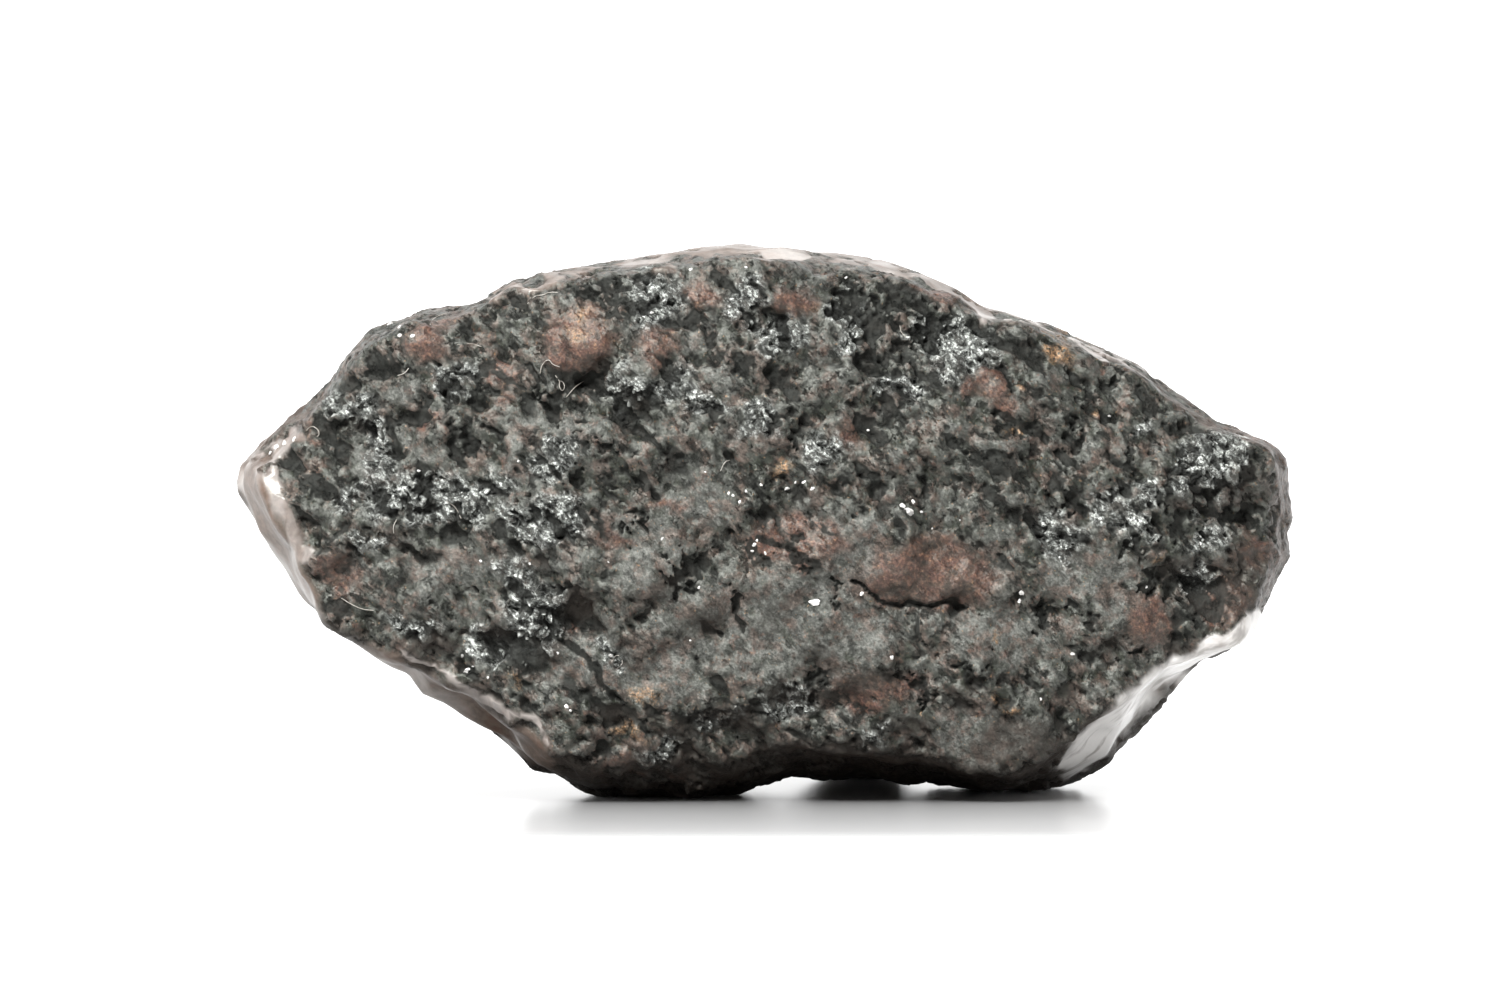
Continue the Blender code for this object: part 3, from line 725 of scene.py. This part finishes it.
def crush(mesh):
    """Gives the bright patches of the finished surface small flat faces that glint one by one."""
    bright = stored_values(mesh, "bright") * (1.0 - stored_values(mesh, "hollow"))
    places, normals = surface_points(mesh)
    chance = numpy.random.default_rng(GLINT_SEED).random(len(places)) * 2.0 - 1.0
    places += normals * (chance * bright * GLINT_HEIGHT)[:, None]
    corners = numpy.empty(len(mesh.loops), dtype=numpy.int32)
    mesh.loops.foreach_get("vertex_index", corners)
    rounded = bright[corners.reshape(-1, 3)].mean(axis=1) < 0.35
    mesh.polygons.foreach_set("use_smooth", rounded)
    move_vertices(mesh, places)


def fewer_triangles(mesh, looks):
    """Reduces the carved mesh, keeping the front face finer than the sides and the back."""
    item = new_object("carved", mesh)
    front = stored_values(mesh, "front")
    group = item.vertex_groups.new(name="coarser")
    group.add(numpy.flatnonzero(front <= 0.5).tolist(), 1.0, "REPLACE")
    group.add(numpy.flatnonzero(front > 0.5).tolist(), 0.5, "REPLACE")
    mesh.calc_loop_triangles()
    reduce = item.modifiers.new("fewer_triangles", "DECIMATE")
    reduce.ratio = looks.triangles / len(mesh.loop_triangles)
    reduce.use_collapse_triangulate = True
    reduce.vertex_group = group.name
    reduce.vertex_group_factor = looks.front_bias
    return modified_mesh(item)


class Nodes:
    """A short way to add nodes to a node tree and to join them."""

    def __init__(self, tree):
        self.tree = tree

    def put(self, socket, value):
        """Sets a socket to a value, or joins it to another node's output."""
        if isinstance(value, bpy.types.NodeSocket):
            self.tree.links.new(value, socket)
        else:
            socket.default_value = value

    def value(self, name):
        """A number stored with the mesh."""
        node = self.tree.nodes.new("ShaderNodeAttribute")
        node.attribute_name = name
        return node.outputs["Fac"]

    def places(self):
        """The object's own coordinates in millimetres."""
        node = self.tree.nodes.new("ShaderNodeTexCoord")
        scale = self.tree.nodes.new("ShaderNodeVectorMath")
        scale.operation = "SCALE"
        scale.inputs["Scale"].default_value = 1.0 / MM
        self.put(scale.inputs[0], node.outputs["Object"])
        return scale.outputs[0]

    def stretched(self, places, factors):
        """Coordinates multiplied along each axis."""
        node = self.tree.nodes.new("ShaderNodeVectorMath")
        node.operation = "MULTIPLY"
        self.put(node.inputs[0], places)
        self.put(node.inputs[1], factors)
        return node.outputs[0]

    def shifted(self, places, distance):
        """Coordinates moved along, so that a second pattern differs from the first."""
        node = self.tree.nodes.new("ShaderNodeVectorMath")
        self.put(node.inputs[0], places)
        self.put(node.inputs[1], (distance, distance, distance))
        return node.outputs[0]

    def long_forms(self, places):
        """Coordinates whose patterns run long from top left to bottom right of the face."""
        turn = self.tree.nodes.new("ShaderNodeMapping")
        turn.vector_type = "TEXTURE"
        turn.inputs["Rotation"].default_value = (0.0, math.radians(45.0), 0.0)
        turn.inputs["Scale"].default_value = (1.0 / GAP_STRETCH, 1.0, 1.0)
        self.put(turn.inputs["Vector"], places)
        return turn.outputs[0]

    def noise(self, places, per_mm, detail=2.0, roughness=0.5):
        """Smooth noise from 0 to 1."""
        node = self.tree.nodes.new("ShaderNodeTexNoise")
        self.put(node.inputs["Vector"], places)
        self.put(node.inputs["Scale"], per_mm)
        self.put(node.inputs["Detail"], detail)
        self.put(node.inputs["Roughness"], roughness)
        return node.outputs["Fac"]

    def ramp(self, value, low, high, to_low=0.0, to_high=1.0):
        """Stretches a range to another range, with smooth ends."""
        node = self.tree.nodes.new("ShaderNodeMapRange")
        node.interpolation_type = "SMOOTHSTEP"
        for socket, number in zip(node.inputs[:5], (value, low, high, to_low, to_high)):
            self.put(socket, number)
        return node.outputs[0]

    def math(self, operation, first, second=0.0):
        """Arithmetic on two values."""
        node = self.tree.nodes.new("ShaderNodeMath")
        node.operation = operation
        self.put(node.inputs[0], first)
        self.put(node.inputs[1], second)
        return node.outputs[0]

    def blend(self, amount, first, second, kind="MIX"):
        """Mixes two colours."""
        node = self.tree.nodes.new("ShaderNodeMix")
        node.data_type = "RGBA"
        node.blend_type = kind
        self.put(node.inputs["Factor"], amount)
        self.put(node.inputs["A"], first)
        self.put(node.inputs["B"], second)
        return node.outputs["Result"]

    def bump(self, height, distance, strength=1.0, below=None):
        """Fine relief in the shading."""
        node = self.tree.nodes.new("ShaderNodeBump")
        self.put(node.inputs["Height"], height)
        self.put(node.inputs["Distance"], distance)
        self.put(node.inputs["Strength"], strength)
        if below is not None:
            self.put(node.inputs["Normal"], below)
        return node.outputs["Normal"]


def new_material(name):
    """A material with a node helper and its shader."""
    material = bpy.data.materials.new(name)
    material.use_nodes = True
    return material, Nodes(material.node_tree), material.node_tree.nodes["Principled BSDF"]


def face_colour(nodes, looks, places, values):
    """The mottled colour of the broken faces: dark and grey stone, dust, warm clouds and rust. The grey and
    the dust are lighter on the high spots, and the dark lies in the lows, partly as painted shade.
    """
    medium = nodes.noise(places, 1.3, 5.0, 0.65)
    broad = nodes.noise(places, 0.45, 3.0, 0.6)
    cloud = nodes.noise(nodes.shifted(places, 7.0), 1.15, 3.0, 0.6)
    shadow = nodes.noise(nodes.shifted(places, 19.0), 1.5, 4.0, 0.65)
    mottle = nodes.noise(places, 2.3, 4.0, 0.6)
    grain = nodes.noise(nodes.shifted(places, 31.0), 5.0, 3.0, 0.6)
    fine = nodes.noise(places, 9.0, 3.0, 0.7)

    # Painted shade: dark in the lows and lighter grey on the high spots, mixed with random tone and the
    # smooth patches. The dust follows it.
    height_shade_and_tone = nodes.math("MULTIPLY", values["high"], 0.40)
    height_shade_and_tone = nodes.math("ADD", height_shade_and_tone, nodes.math("MULTIPLY", medium, 0.9))
    height_shade_and_tone = nodes.math("ADD", height_shade_and_tone, nodes.math("MULTIPLY", values["smooth"], 0.14))
    grey_film_and_height_shade = nodes.ramp(height_shade_and_tone, 0.40, 0.95)
    colour = nodes.blend(grey_film_and_height_shade, tuple(looks.dark_colour), tuple(looks.grey_colour))
    dust = nodes.math("MAXIMUM", values["smooth"], nodes.ramp(broad, 0.45, 0.66))
    dust = nodes.math("MULTIPLY", dust, nodes.ramp(mottle, 0.30, 0.65, 0.15, 1.0))
    dust = nodes.math("MULTIPLY", dust, grey_film_and_height_shade)
    colour = nodes.blend(dust, colour, tuple(looks.dust_colour))
    colour = nodes.blend(nodes.ramp(shadow, 0.50, 0.70, 0.0, 0.80), colour, tuple(looks.shadow_colour))
    colour = nodes.blend(nodes.ramp(cloud, 0.46, 0.64, 0.0, 0.80), colour, tuple(looks.brown_colour))

    amber = nodes.ramp(grain, 0.40, 0.62)
    rust_tone = nodes.blend(amber, tuple(looks.rust_colour), tuple(looks.amber_colour))
    stray = nodes.ramp(nodes.noise(nodes.shifted(places, 43.0), 1.7, 5.0, 0.7), 0.56, 0.68, 0.0, 0.58)
    patch = nodes.math("MULTIPLY", values["rust"], nodes.ramp(medium, 0.36, 0.56, 0.35, 0.90))
    colour = nodes.blend(nodes.math("MAXIMUM", stray, patch), colour, rust_tone)
    speck = nodes.math("MULTIPLY", nodes.ramp(grain, 0.66, 0.72), 0.6)
    spot = nodes.math("MULTIPLY", values["ochre"], nodes.ramp(fine, 0.36, 0.60))
    return nodes.blend(nodes.math("MAXIMUM", spot, speck), colour, tuple(looks.ochre_colour)), dust


def crust_colour(nodes, looks, places, values):
    """The colour of the side walls: brown crust, tan where it is polished, a painted pale reflection streaked
    lengthwise on the polish, and faint pale clouds.
    """
    streaks = nodes.noise(nodes.stretched(places, (0.22, 1.0, 0.22)), 1.6, 4.0, 0.6)
    blotch = nodes.noise(places, 0.9, 4.0, 0.65)
    small = nodes.noise(nodes.shifted(places, 53.0), 2.6, 4.0, 0.65)
    colour = nodes.blend(nodes.ramp(blotch, 0.36, 0.64), tuple(looks.umber_colour), tuple(looks.crust_colour))
    brown = nodes.ramp(small, 0.38, 0.62, 0.0, 0.9)
    tan = nodes.blend(brown, tuple(looks.tan_colour), tuple(looks.crust_colour))
    tan = nodes.blend(nodes.ramp(blotch, 0.52, 0.68, 0.0, 0.6), tan, tuple(looks.amber_colour))
    colour = nodes.blend(values["polish"], colour, tan)
    # Painted reflection: the polished edges turn near white in lengthwise streaks.
    pale = nodes.math("MULTIPLY", values["pale"], nodes.ramp(streaks, 0.32, 0.50, 0.40, 1.0))
    return nodes.blend(pale, colour, tuple(looks.pale_reflection_colour))


def torn_gaps(nodes, places, values):
    """Thin torn gaps, fewer where the stone is smooth or rusty. The walls have none. They are bumped in and
    painted nearly black as shade.
    """
    torn = nodes.ramp(nodes.noise(nodes.long_forms(places), 1.9, 6.0, 0.72), 0.53, 0.66)
    face = nodes.math("SUBTRACT", 1.0, values["wall"])
    unrusted = nodes.ramp(values["rust"], 0.0, 1.0, 1.0, 0.3)
    torn = nodes.math("MULTIPLY", torn, nodes.ramp(values["smooth"], 0.0, 1.0, 1.0, 0.40))
    return nodes.math("MULTIPLY", torn, nodes.math("MULTIPLY", face, unrusted))


def all_gaps(nodes, values, torn, fine):
    """The carved hollows with a finely uneven rim, and the torn gaps: where painted shade darkens the colour
    and the stone is duller.
    """
    uneven = nodes.math("MULTIPLY", nodes.math("SUBTRACT", fine, 0.5), 0.7)
    gap = nodes.ramp(nodes.math("ADD", values["hollow"], uneven), 0.20, 0.75)
    return nodes.math("MAXIMUM", gap, nodes.math("MULTIPLY", torn, 0.85))


def crystal_cover(nodes, values, fine, shards):
    """Where crystals lie in the bright patches. They are bumped and painted pale, partly as a painted glint.
    """
    crystals_and_painted_glints = nodes.math("MULTIPLY", values["bright"], nodes.ramp(shards, 0.44, 0.55))
    return nodes.math("MULTIPLY", crystals_and_painted_glints, nodes.ramp(fine, 0.36, 0.58, 0.35, 1.0))


def grain_tone_and_gap_shade(nodes, gap, fine, shards):
    """How light or dark the small grains of the face are, at random, and painted shade that makes the gaps,
    pits and cracks nearly black.
    """
    shade = nodes.ramp(fine, 0.30, 0.70, 0.58, 1.42)
    shade = nodes.math("MULTIPLY", shade, nodes.ramp(shards, 0.42, 0.58, 0.60, 1.40))
    # Painted shade: the colour falls to 0.07 of itself in the gaps, pits and cracks.
    return nodes.math("MULTIPLY", shade, nodes.ramp(gap, 0.0, 1.0, 1.0, 0.07))


def stone_roughness(nodes, values, dust, gap):
    """Dull where the stone is smooth, dusty, hollow or on the walls, glossier on crystals and polish."""
    roughness = nodes.ramp(values["smooth"], 0.0, 1.0, 0.36, 0.46)
    for cover, change in (
        (values["bright"], -0.10),
        (dust, 0.10),
        (gap, 0.35),
        (values["wall"], 0.14),
        (values["polish"], -0.16),
    ):
        roughness = nodes.math("ADD", roughness, nodes.math("MULTIPLY", cover, change))
    return roughness


def stone_bumps(nodes, places, values, torn, fine, crystals_and_painted_glints):
    """Relief too fine to carve: torn gaps, small grains and crystals, nearly none on the polish."""
    strength = nodes.math("SUBTRACT", 1.0, nodes.math("MULTIPLY", values["polish"], 0.85))
    bumps = nodes.bump(nodes.math("SUBTRACT", 1.0, torn), TORN_DEPTH, strength)
    bumps = nodes.bump(nodes.noise(places, 2.6, 5.0, 0.6), GRAIN_BUMP, strength, bumps)
    bumps = nodes.bump(fine, FINE_BUMP, strength, bumps)
    return nodes.bump(crystals_and_painted_glints, CRYSTAL_BUMP, 1.0, bumps)


def stone_material(looks):
    """Dark, mottled stone with glinting crystals and black gaps, and a crust on the sides. The black of the
    gaps is painted shade, and so is part of the dark in the lows. The crystals' pale colour is partly a
    painted glint, the pale polish is a painted reflection, and the brown-black underside is painted shade.
    """
    material, nodes, shader = new_material("weathered_stone")
    places = nodes.places()
    values = {name: nodes.value(name) for name in MATERIAL_ZONES}
    fine = nodes.noise(places, 8.0, 3.0, 0.7)
    shards = nodes.noise(nodes.long_forms(places), 3.6, 6.0, 0.78)
    torn = torn_gaps(nodes, places, values)
    gap = all_gaps(nodes, values, torn, fine)
    crystals_and_painted_glints = crystal_cover(nodes, values, fine, shards)

    colour, dust = face_colour(nodes, looks, places, values)
    # The bright patches are painted lighter grey and their crystals pale: partly painted sheen and glints.
    colour = nodes.blend(nodes.math("MULTIPLY", values["bright"], 0.7), colour, tuple(looks.splinter_and_sheen_colour))
    colour = nodes.blend(crystals_and_painted_glints, colour, tuple(looks.crystal_and_glint_colour))
    # Random grain tone, and painted shade that makes the hollows nearly black.
    colour = nodes.blend(1.0, colour, grain_tone_and_gap_shade(nodes, gap, fine, shards), "MULTIPLY")
    colour = nodes.blend(values["wall"], colour, crust_colour(nodes, looks, places, values))
    # Painted shade: brown-black on the underside and near the floor, and on the brown patches in front.
    colour = nodes.blend(nodes.math("MULTIPLY", values["under"], 0.85), colour, tuple(looks.under_colour))

    nodes.put(shader.inputs["Base Color"], colour)
    nodes.put(shader.inputs["Roughness"], stone_roughness(nodes, values, dust, gap))
    nodes.put(shader.inputs["Coat Weight"], nodes.math("MULTIPLY", values["pale"], 0.7))
    nodes.put(shader.inputs["Normal"], stone_bumps(nodes, places, values, torn, fine, crystals_and_painted_glints))
    shader.inputs["Coat Roughness"].default_value = 0.22
    shader.inputs["Coat IOR"].default_value = 1.6
    shader.inputs["Specular Tint"].default_value = (0.97, 1.0, 0.91, 1.0)
    return material


def fleck_material(looks):
    """White mineral with faint grey clouds."""
    material, nodes, shader = new_material("pale_mineral")
    clouds = nodes.noise(nodes.places(), 9.0, 3.0, 0.6)
    white = nodes.ramp(clouds, 0.35, 0.65, 0.55, 1.0)
    colour = nodes.blend(white, tuple(looks.fleck_shade), tuple(looks.fleck_colour))
    nodes.put(shader.inputs["Base Color"], colour)
    nodes.put(shader.inputs["Roughness"], nodes.ramp(clouds, 0.30, 0.70, 0.45, 0.30))
    return material


def lint_material(looks):
    """Pale fibre, uneven along its length."""
    material, nodes, shader = new_material("lint_fibre")
    uneven = nodes.noise(nodes.places(), 3.0, 2.0, 0.5)
    colour = nodes.blend(nodes.ramp(uneven, 0.35, 0.60), tuple(looks.lint_shade), tuple(looks.lint_colour))
    nodes.put(shader.inputs["Base Color"], colour)
    shader.inputs["Roughness"].default_value = 0.55
    return material


def build_surface(looks):
    """The stone's carved surface, in place of the plain solid."""
    mesh = even_copy(looks)
    carve(mesh, looks)
    mesh = fewer_triangles(mesh, looks)
    mesh.shade_smooth()
    crush(mesh)
    mesh.transform(Matrix.Scale(MM, 4))
    mesh.name = SURFACE
    mesh.materials.clear()
    mesh.materials.append(stone_material(looks))
    surface = new_object(SURFACE, mesh)
    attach(surface, BODY)
    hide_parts(STONE_NODE)


class FrontFace:
    """Finds places on the carved surface, straight in from the front."""

    def __init__(self):
        surface = bpy.data.objects.get(SURFACE)
        if surface is None:
            raise RuntimeError("The stone's surface has to be built first.")
        bpy.context.view_layer.update()
        self.tree = BVHTree.FromObject(surface, bpy.context.evaluated_depsgraph_get())

    def meet(self, across, up):
        """The place and the outward normal where the surface is met, in metres."""
        start = Vector((across, IN_FRONT, up)) * MM
        place, normal, _, _ = self.tree.ray_cast(start, Vector((0.0, 1.0, 0.0)))
        if place is None:
            raise RuntimeError(f"Nothing of the stone lies at {across}, {up} mm.")
        return place, normal


def lie_on_stone(item, material):
    """Gives a piece that lies on the stone its material, and lets it ride with the stone."""
    item.data.materials.clear()
    item.data.materials.append(material)
    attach(item, BODY)


def build_flecks(looks):
    """Small angular grains of pale mineral, each sunk a little into the face, joined in one mesh."""
    face = FrontFace()
    chance = numpy.random.default_rng(FLECK_SEED)
    body = bmesh.new()
    for across, up, width in FLECKS:
        place, normal = face.meet(across, up)
        made = bmesh.ops.create_icosphere(body, subdivisions=2, radius=width / 2 * MM)
        turn = normal.to_track_quat("Z", "Y").to_matrix().to_4x4()
        spin = Matrix.Rotation(chance.random() * math.tau, 4, "Z")
        shape = Matrix.Translation(place) @ turn @ spin @ Matrix.Diagonal(FLECK_SHAPE)
        for corner in made["verts"]:
            corner.co *= 0.70 + 0.60 * chance.random()
            corner.co = shape @ corner.co
    mesh = bpy.data.meshes.new("pale_flecks")
    body.to_mesh(mesh)
    body.free()
    lie_on_stone(new_object("pale_flecks", mesh), fleck_material(looks))


def build_lint(looks):
    """Thin fibres that follow the face, as one mesh of tubes."""
    face = FrontFace()
    data = bpy.data.curves.new("lint", "CURVE")
    data.dimensions = "3D"
    data.bevel_depth = looks.lint_width / 2
    data.bevel_resolution = 1
    data.use_fill_caps = True
    data.resolution_u = 5
    for chain in LINT:
        spline = data.splines.new("BEZIER")
        spline.bezier_points.add(len(chain) - 1)
        for point, (across, up) in zip(spline.bezier_points, chain):
            place, normal = face.meet(across, up)
            point.co = place + normal * looks.lint_width * 1.5
            point.handle_left_type = point.handle_right_type = "AUTO"
    mesh = modified_mesh(new_object("lint", data))
    mesh.shade_smooth()
    lie_on_stone(new_object("lint", mesh), lint_material(looks))


def add_camera(stage):
    """The camera at the photograph's angle."""
    data = bpy.data.cameras.new("camera")
    data.lens = stage.lens
    data.sensor_width = SENSOR_WIDTH
    data.dof.use_dof = False
    camera = new_object("camera", data)
    distance = PHOTO_WIDTH * stage.pixel * stage.lens / SENSOR_WIDTH + WIDEST_IN_FRONT
    away = Vector((0.0, -math.cos(stage.camera_height), math.sin(stage.camera_height)))
    camera.location = CAMERA_TARGET + away * distance
    camera.rotation_euler = (math.pi / 2 - stage.camera_height, 0.0, 0.0)
    bpy.context.scene.camera = camera


def add_softbox(name, box, power):
    """A soft rectangular light that points at the stone's middle."""
    place, width, depth = box
    data = bpy.data.lights.new(name, "AREA")
    data.shape = "RECTANGLE"
    data.size = width
    data.size_y = depth
    data.energy = power
    light = new_object(name, data)
    light.location = place
    light.rotation_euler = (MIDDLE - Vector(place)).to_track_quat("-Z", "Y").to_euler()
    return light


def shine_only_on(light, names):
    """Lets a light fall on the named objects alone."""
    collection = bpy.data.collections.new(f"lit_by_{light.name}")
    for name in names:
        collection.objects.link(bpy.data.objects[name])
    light.light_linking.receiver_collection = collection


def add_surroundings(stage):
    """A white background for the camera, and a soft room: bright low behind, dimmer above and in front."""
    world = bpy.data.worlds.new("studio")
    bpy.context.scene.world = world
    world.use_nodes = True
    nodes = Nodes(world.node_tree)
    coordinates = world.node_tree.nodes.new("ShaderNodeTexCoord")
    split = world.node_tree.nodes.new("ShaderNodeSeparateXYZ")
    nodes.put(split.inputs[0], coordinates.outputs["Generated"])
    behind = nodes.ramp(split.outputs["Y"], -0.50, 0.40, stage.room_front, stage.room_back)
    low = nodes.ramp(split.outputs["Z"], 0.10, 0.60, 1.0, stage.room_above)
    path = world.node_tree.nodes.new("ShaderNodeLightPath")
    strength = nodes.math("MAXIMUM", nodes.math("MULTIPLY", behind, low), path.outputs["Is Camera Ray"])
    background = world.node_tree.nodes["Background"]
    nodes.put(background.inputs["Strength"], strength)
    background.inputs["Color"].default_value = (1.0, 1.0, 1.0, 1.0)


def floor_material(stage):
    """White, glossy where the stone stands and matt farther in front."""
    material, nodes, shader = new_material("pale_floor")
    coordinates = nodes.tree.nodes.new("ShaderNodeTexCoord")
    split = nodes.tree.nodes.new("ShaderNodeSeparateXYZ")
    nodes.put(split.inputs[0], coordinates.outputs["Object"])
    far, near = stage.floor_gloss_end - 0.010, stage.floor_gloss_end + 0.004
    matt = nodes.ramp(split.outputs["Y"], far, near, 1.0, 0.0)
    nodes.put(shader.inputs["Roughness"], nodes.ramp(matt, 0.0, 1.0, 0.20, 0.90))
    nodes.put(shader.inputs["Specular IOR Level"], nodes.ramp(matt, 0.0, 1.0, 0.45, 0.0))
    shader.inputs["Base Color"].default_value = stage.floor_colour
    return material


def add_floor(stage):
    """The pale floor that the stone stands on."""
    mesh = bpy.data.meshes.new("floor")
    body = bmesh.new()
    bmesh.ops.create_grid(body, x_segments=1, y_segments=1, size=stage.floor_size / 2)
    body.to_mesh(mesh)
    body.free()
    mesh.materials.append(floor_material(stage))
    floor = new_object("floor", mesh)
    floor.location.z = LOWEST.z


def add_lights(stage):
    """A softbox in front for the stone, one above for the floor, and a weak one behind for both."""
    key = add_softbox("key_softbox", KEY_BOX, stage.key_power)
    shine_only_on(key, (SURFACE, "pale_flecks", "lint"))
    over = add_softbox("floor_softbox", FLOOR_BOX, stage.floor_power)
    shine_only_on(over, ("floor",))
    add_softbox("rim_softbox", RIM_BOX, stage.rim_power)


class METEORITE_OT_surface(bpy.types.Operator):
    """Carve the stone's surface"""

    bl_idname = "meteorite.surface"
    bl_label = "Stone surface"

    def execute(self, context):
        build_surface(context.scene.stone_looks)
        return {"FINISHED"}


class METEORITE_OT_flecks(bpy.types.Operator):
    """Set pale flecks on the front face"""

    bl_idname = "meteorite.flecks"
    bl_label = "Pale flecks"

    def execute(self, context):
        build_flecks(context.scene.dirt_looks)
        return {"FINISHED"}


class METEORITE_OT_lint(bpy.types.Operator):
    """Lay fibres of lint on the front face"""

    bl_idname = "meteorite.lint"
    bl_label = "Lint"

    def execute(self, context):
        build_lint(context.scene.dirt_looks)
        return {"FINISHED"}


class METEORITE_OT_stage(bpy.types.Operator):
    """Set up the camera, the lights and the floor"""

    bl_idname = "meteorite.stage"
    bl_label = "Stage"

    def execute(self, context):
        stage = context.scene.stage_looks
        add_camera(stage)
        add_floor(stage)
        add_surroundings(stage)
        add_lights(stage)
        context.scene.view_settings.view_transform = "Standard"
        return {"FINISHED"}


class METEORITE_PT_panel(bpy.types.Panel):
    """The pieces and their sizes and colours"""

    bl_label = "Meteorite"
    bl_idname = "METEORITE_PT_panel"
    bl_space_type = "VIEW_3D"
    bl_region_type = "UI"
    bl_category = "Meteorite"

    def draw(self, context):
        for group, operators in PANEL_ROWS:
            box = self.layout.box()
            for operator in operators:
                box.operator(operator)
            looks = getattr(context.scene, group)
            for name in looks.__annotations__:
                box.prop(looks, name)


PANEL_ROWS = (
    ("stone_looks", ("meteorite.surface",)),
    ("dirt_looks", ("meteorite.flecks", "meteorite.lint")),
    ("stage_looks", ("meteorite.stage",)),
)
CLASSES = (
    StoneLooks, DirtLooks, StageLooks, METEORITE_OT_surface, METEORITE_OT_flecks, METEORITE_OT_lint,
    METEORITE_OT_stage, METEORITE_PT_panel,
)


def register():
    """Registers the add-on's classes and settings."""
    for item in CLASSES:
        bpy.utils.register_class(item)
    bpy.types.Scene.stone_looks = PointerProperty(type=StoneLooks)
    bpy.types.Scene.dirt_looks = PointerProperty(type=DirtLooks)
    bpy.types.Scene.stage_looks = PointerProperty(type=StageLooks)


def unregister():
    """Takes the add-on's settings and classes away again."""
    del bpy.types.Scene.stage_looks
    del bpy.types.Scene.dirt_looks
    del bpy.types.Scene.stone_looks
    for item in reversed(CLASSES):
        bpy.utils.unregister_class(item)


def main():
    """Registers the add-on and builds every piece: the surface, the flecks, the lint and the stage."""
    register()
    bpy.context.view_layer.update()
    bpy.ops.meteorite.surface()
    bpy.ops.meteorite.flecks()
    bpy.ops.meteorite.lint()
    bpy.ops.meteorite.stage()


if __name__ == "__main__":
    main()
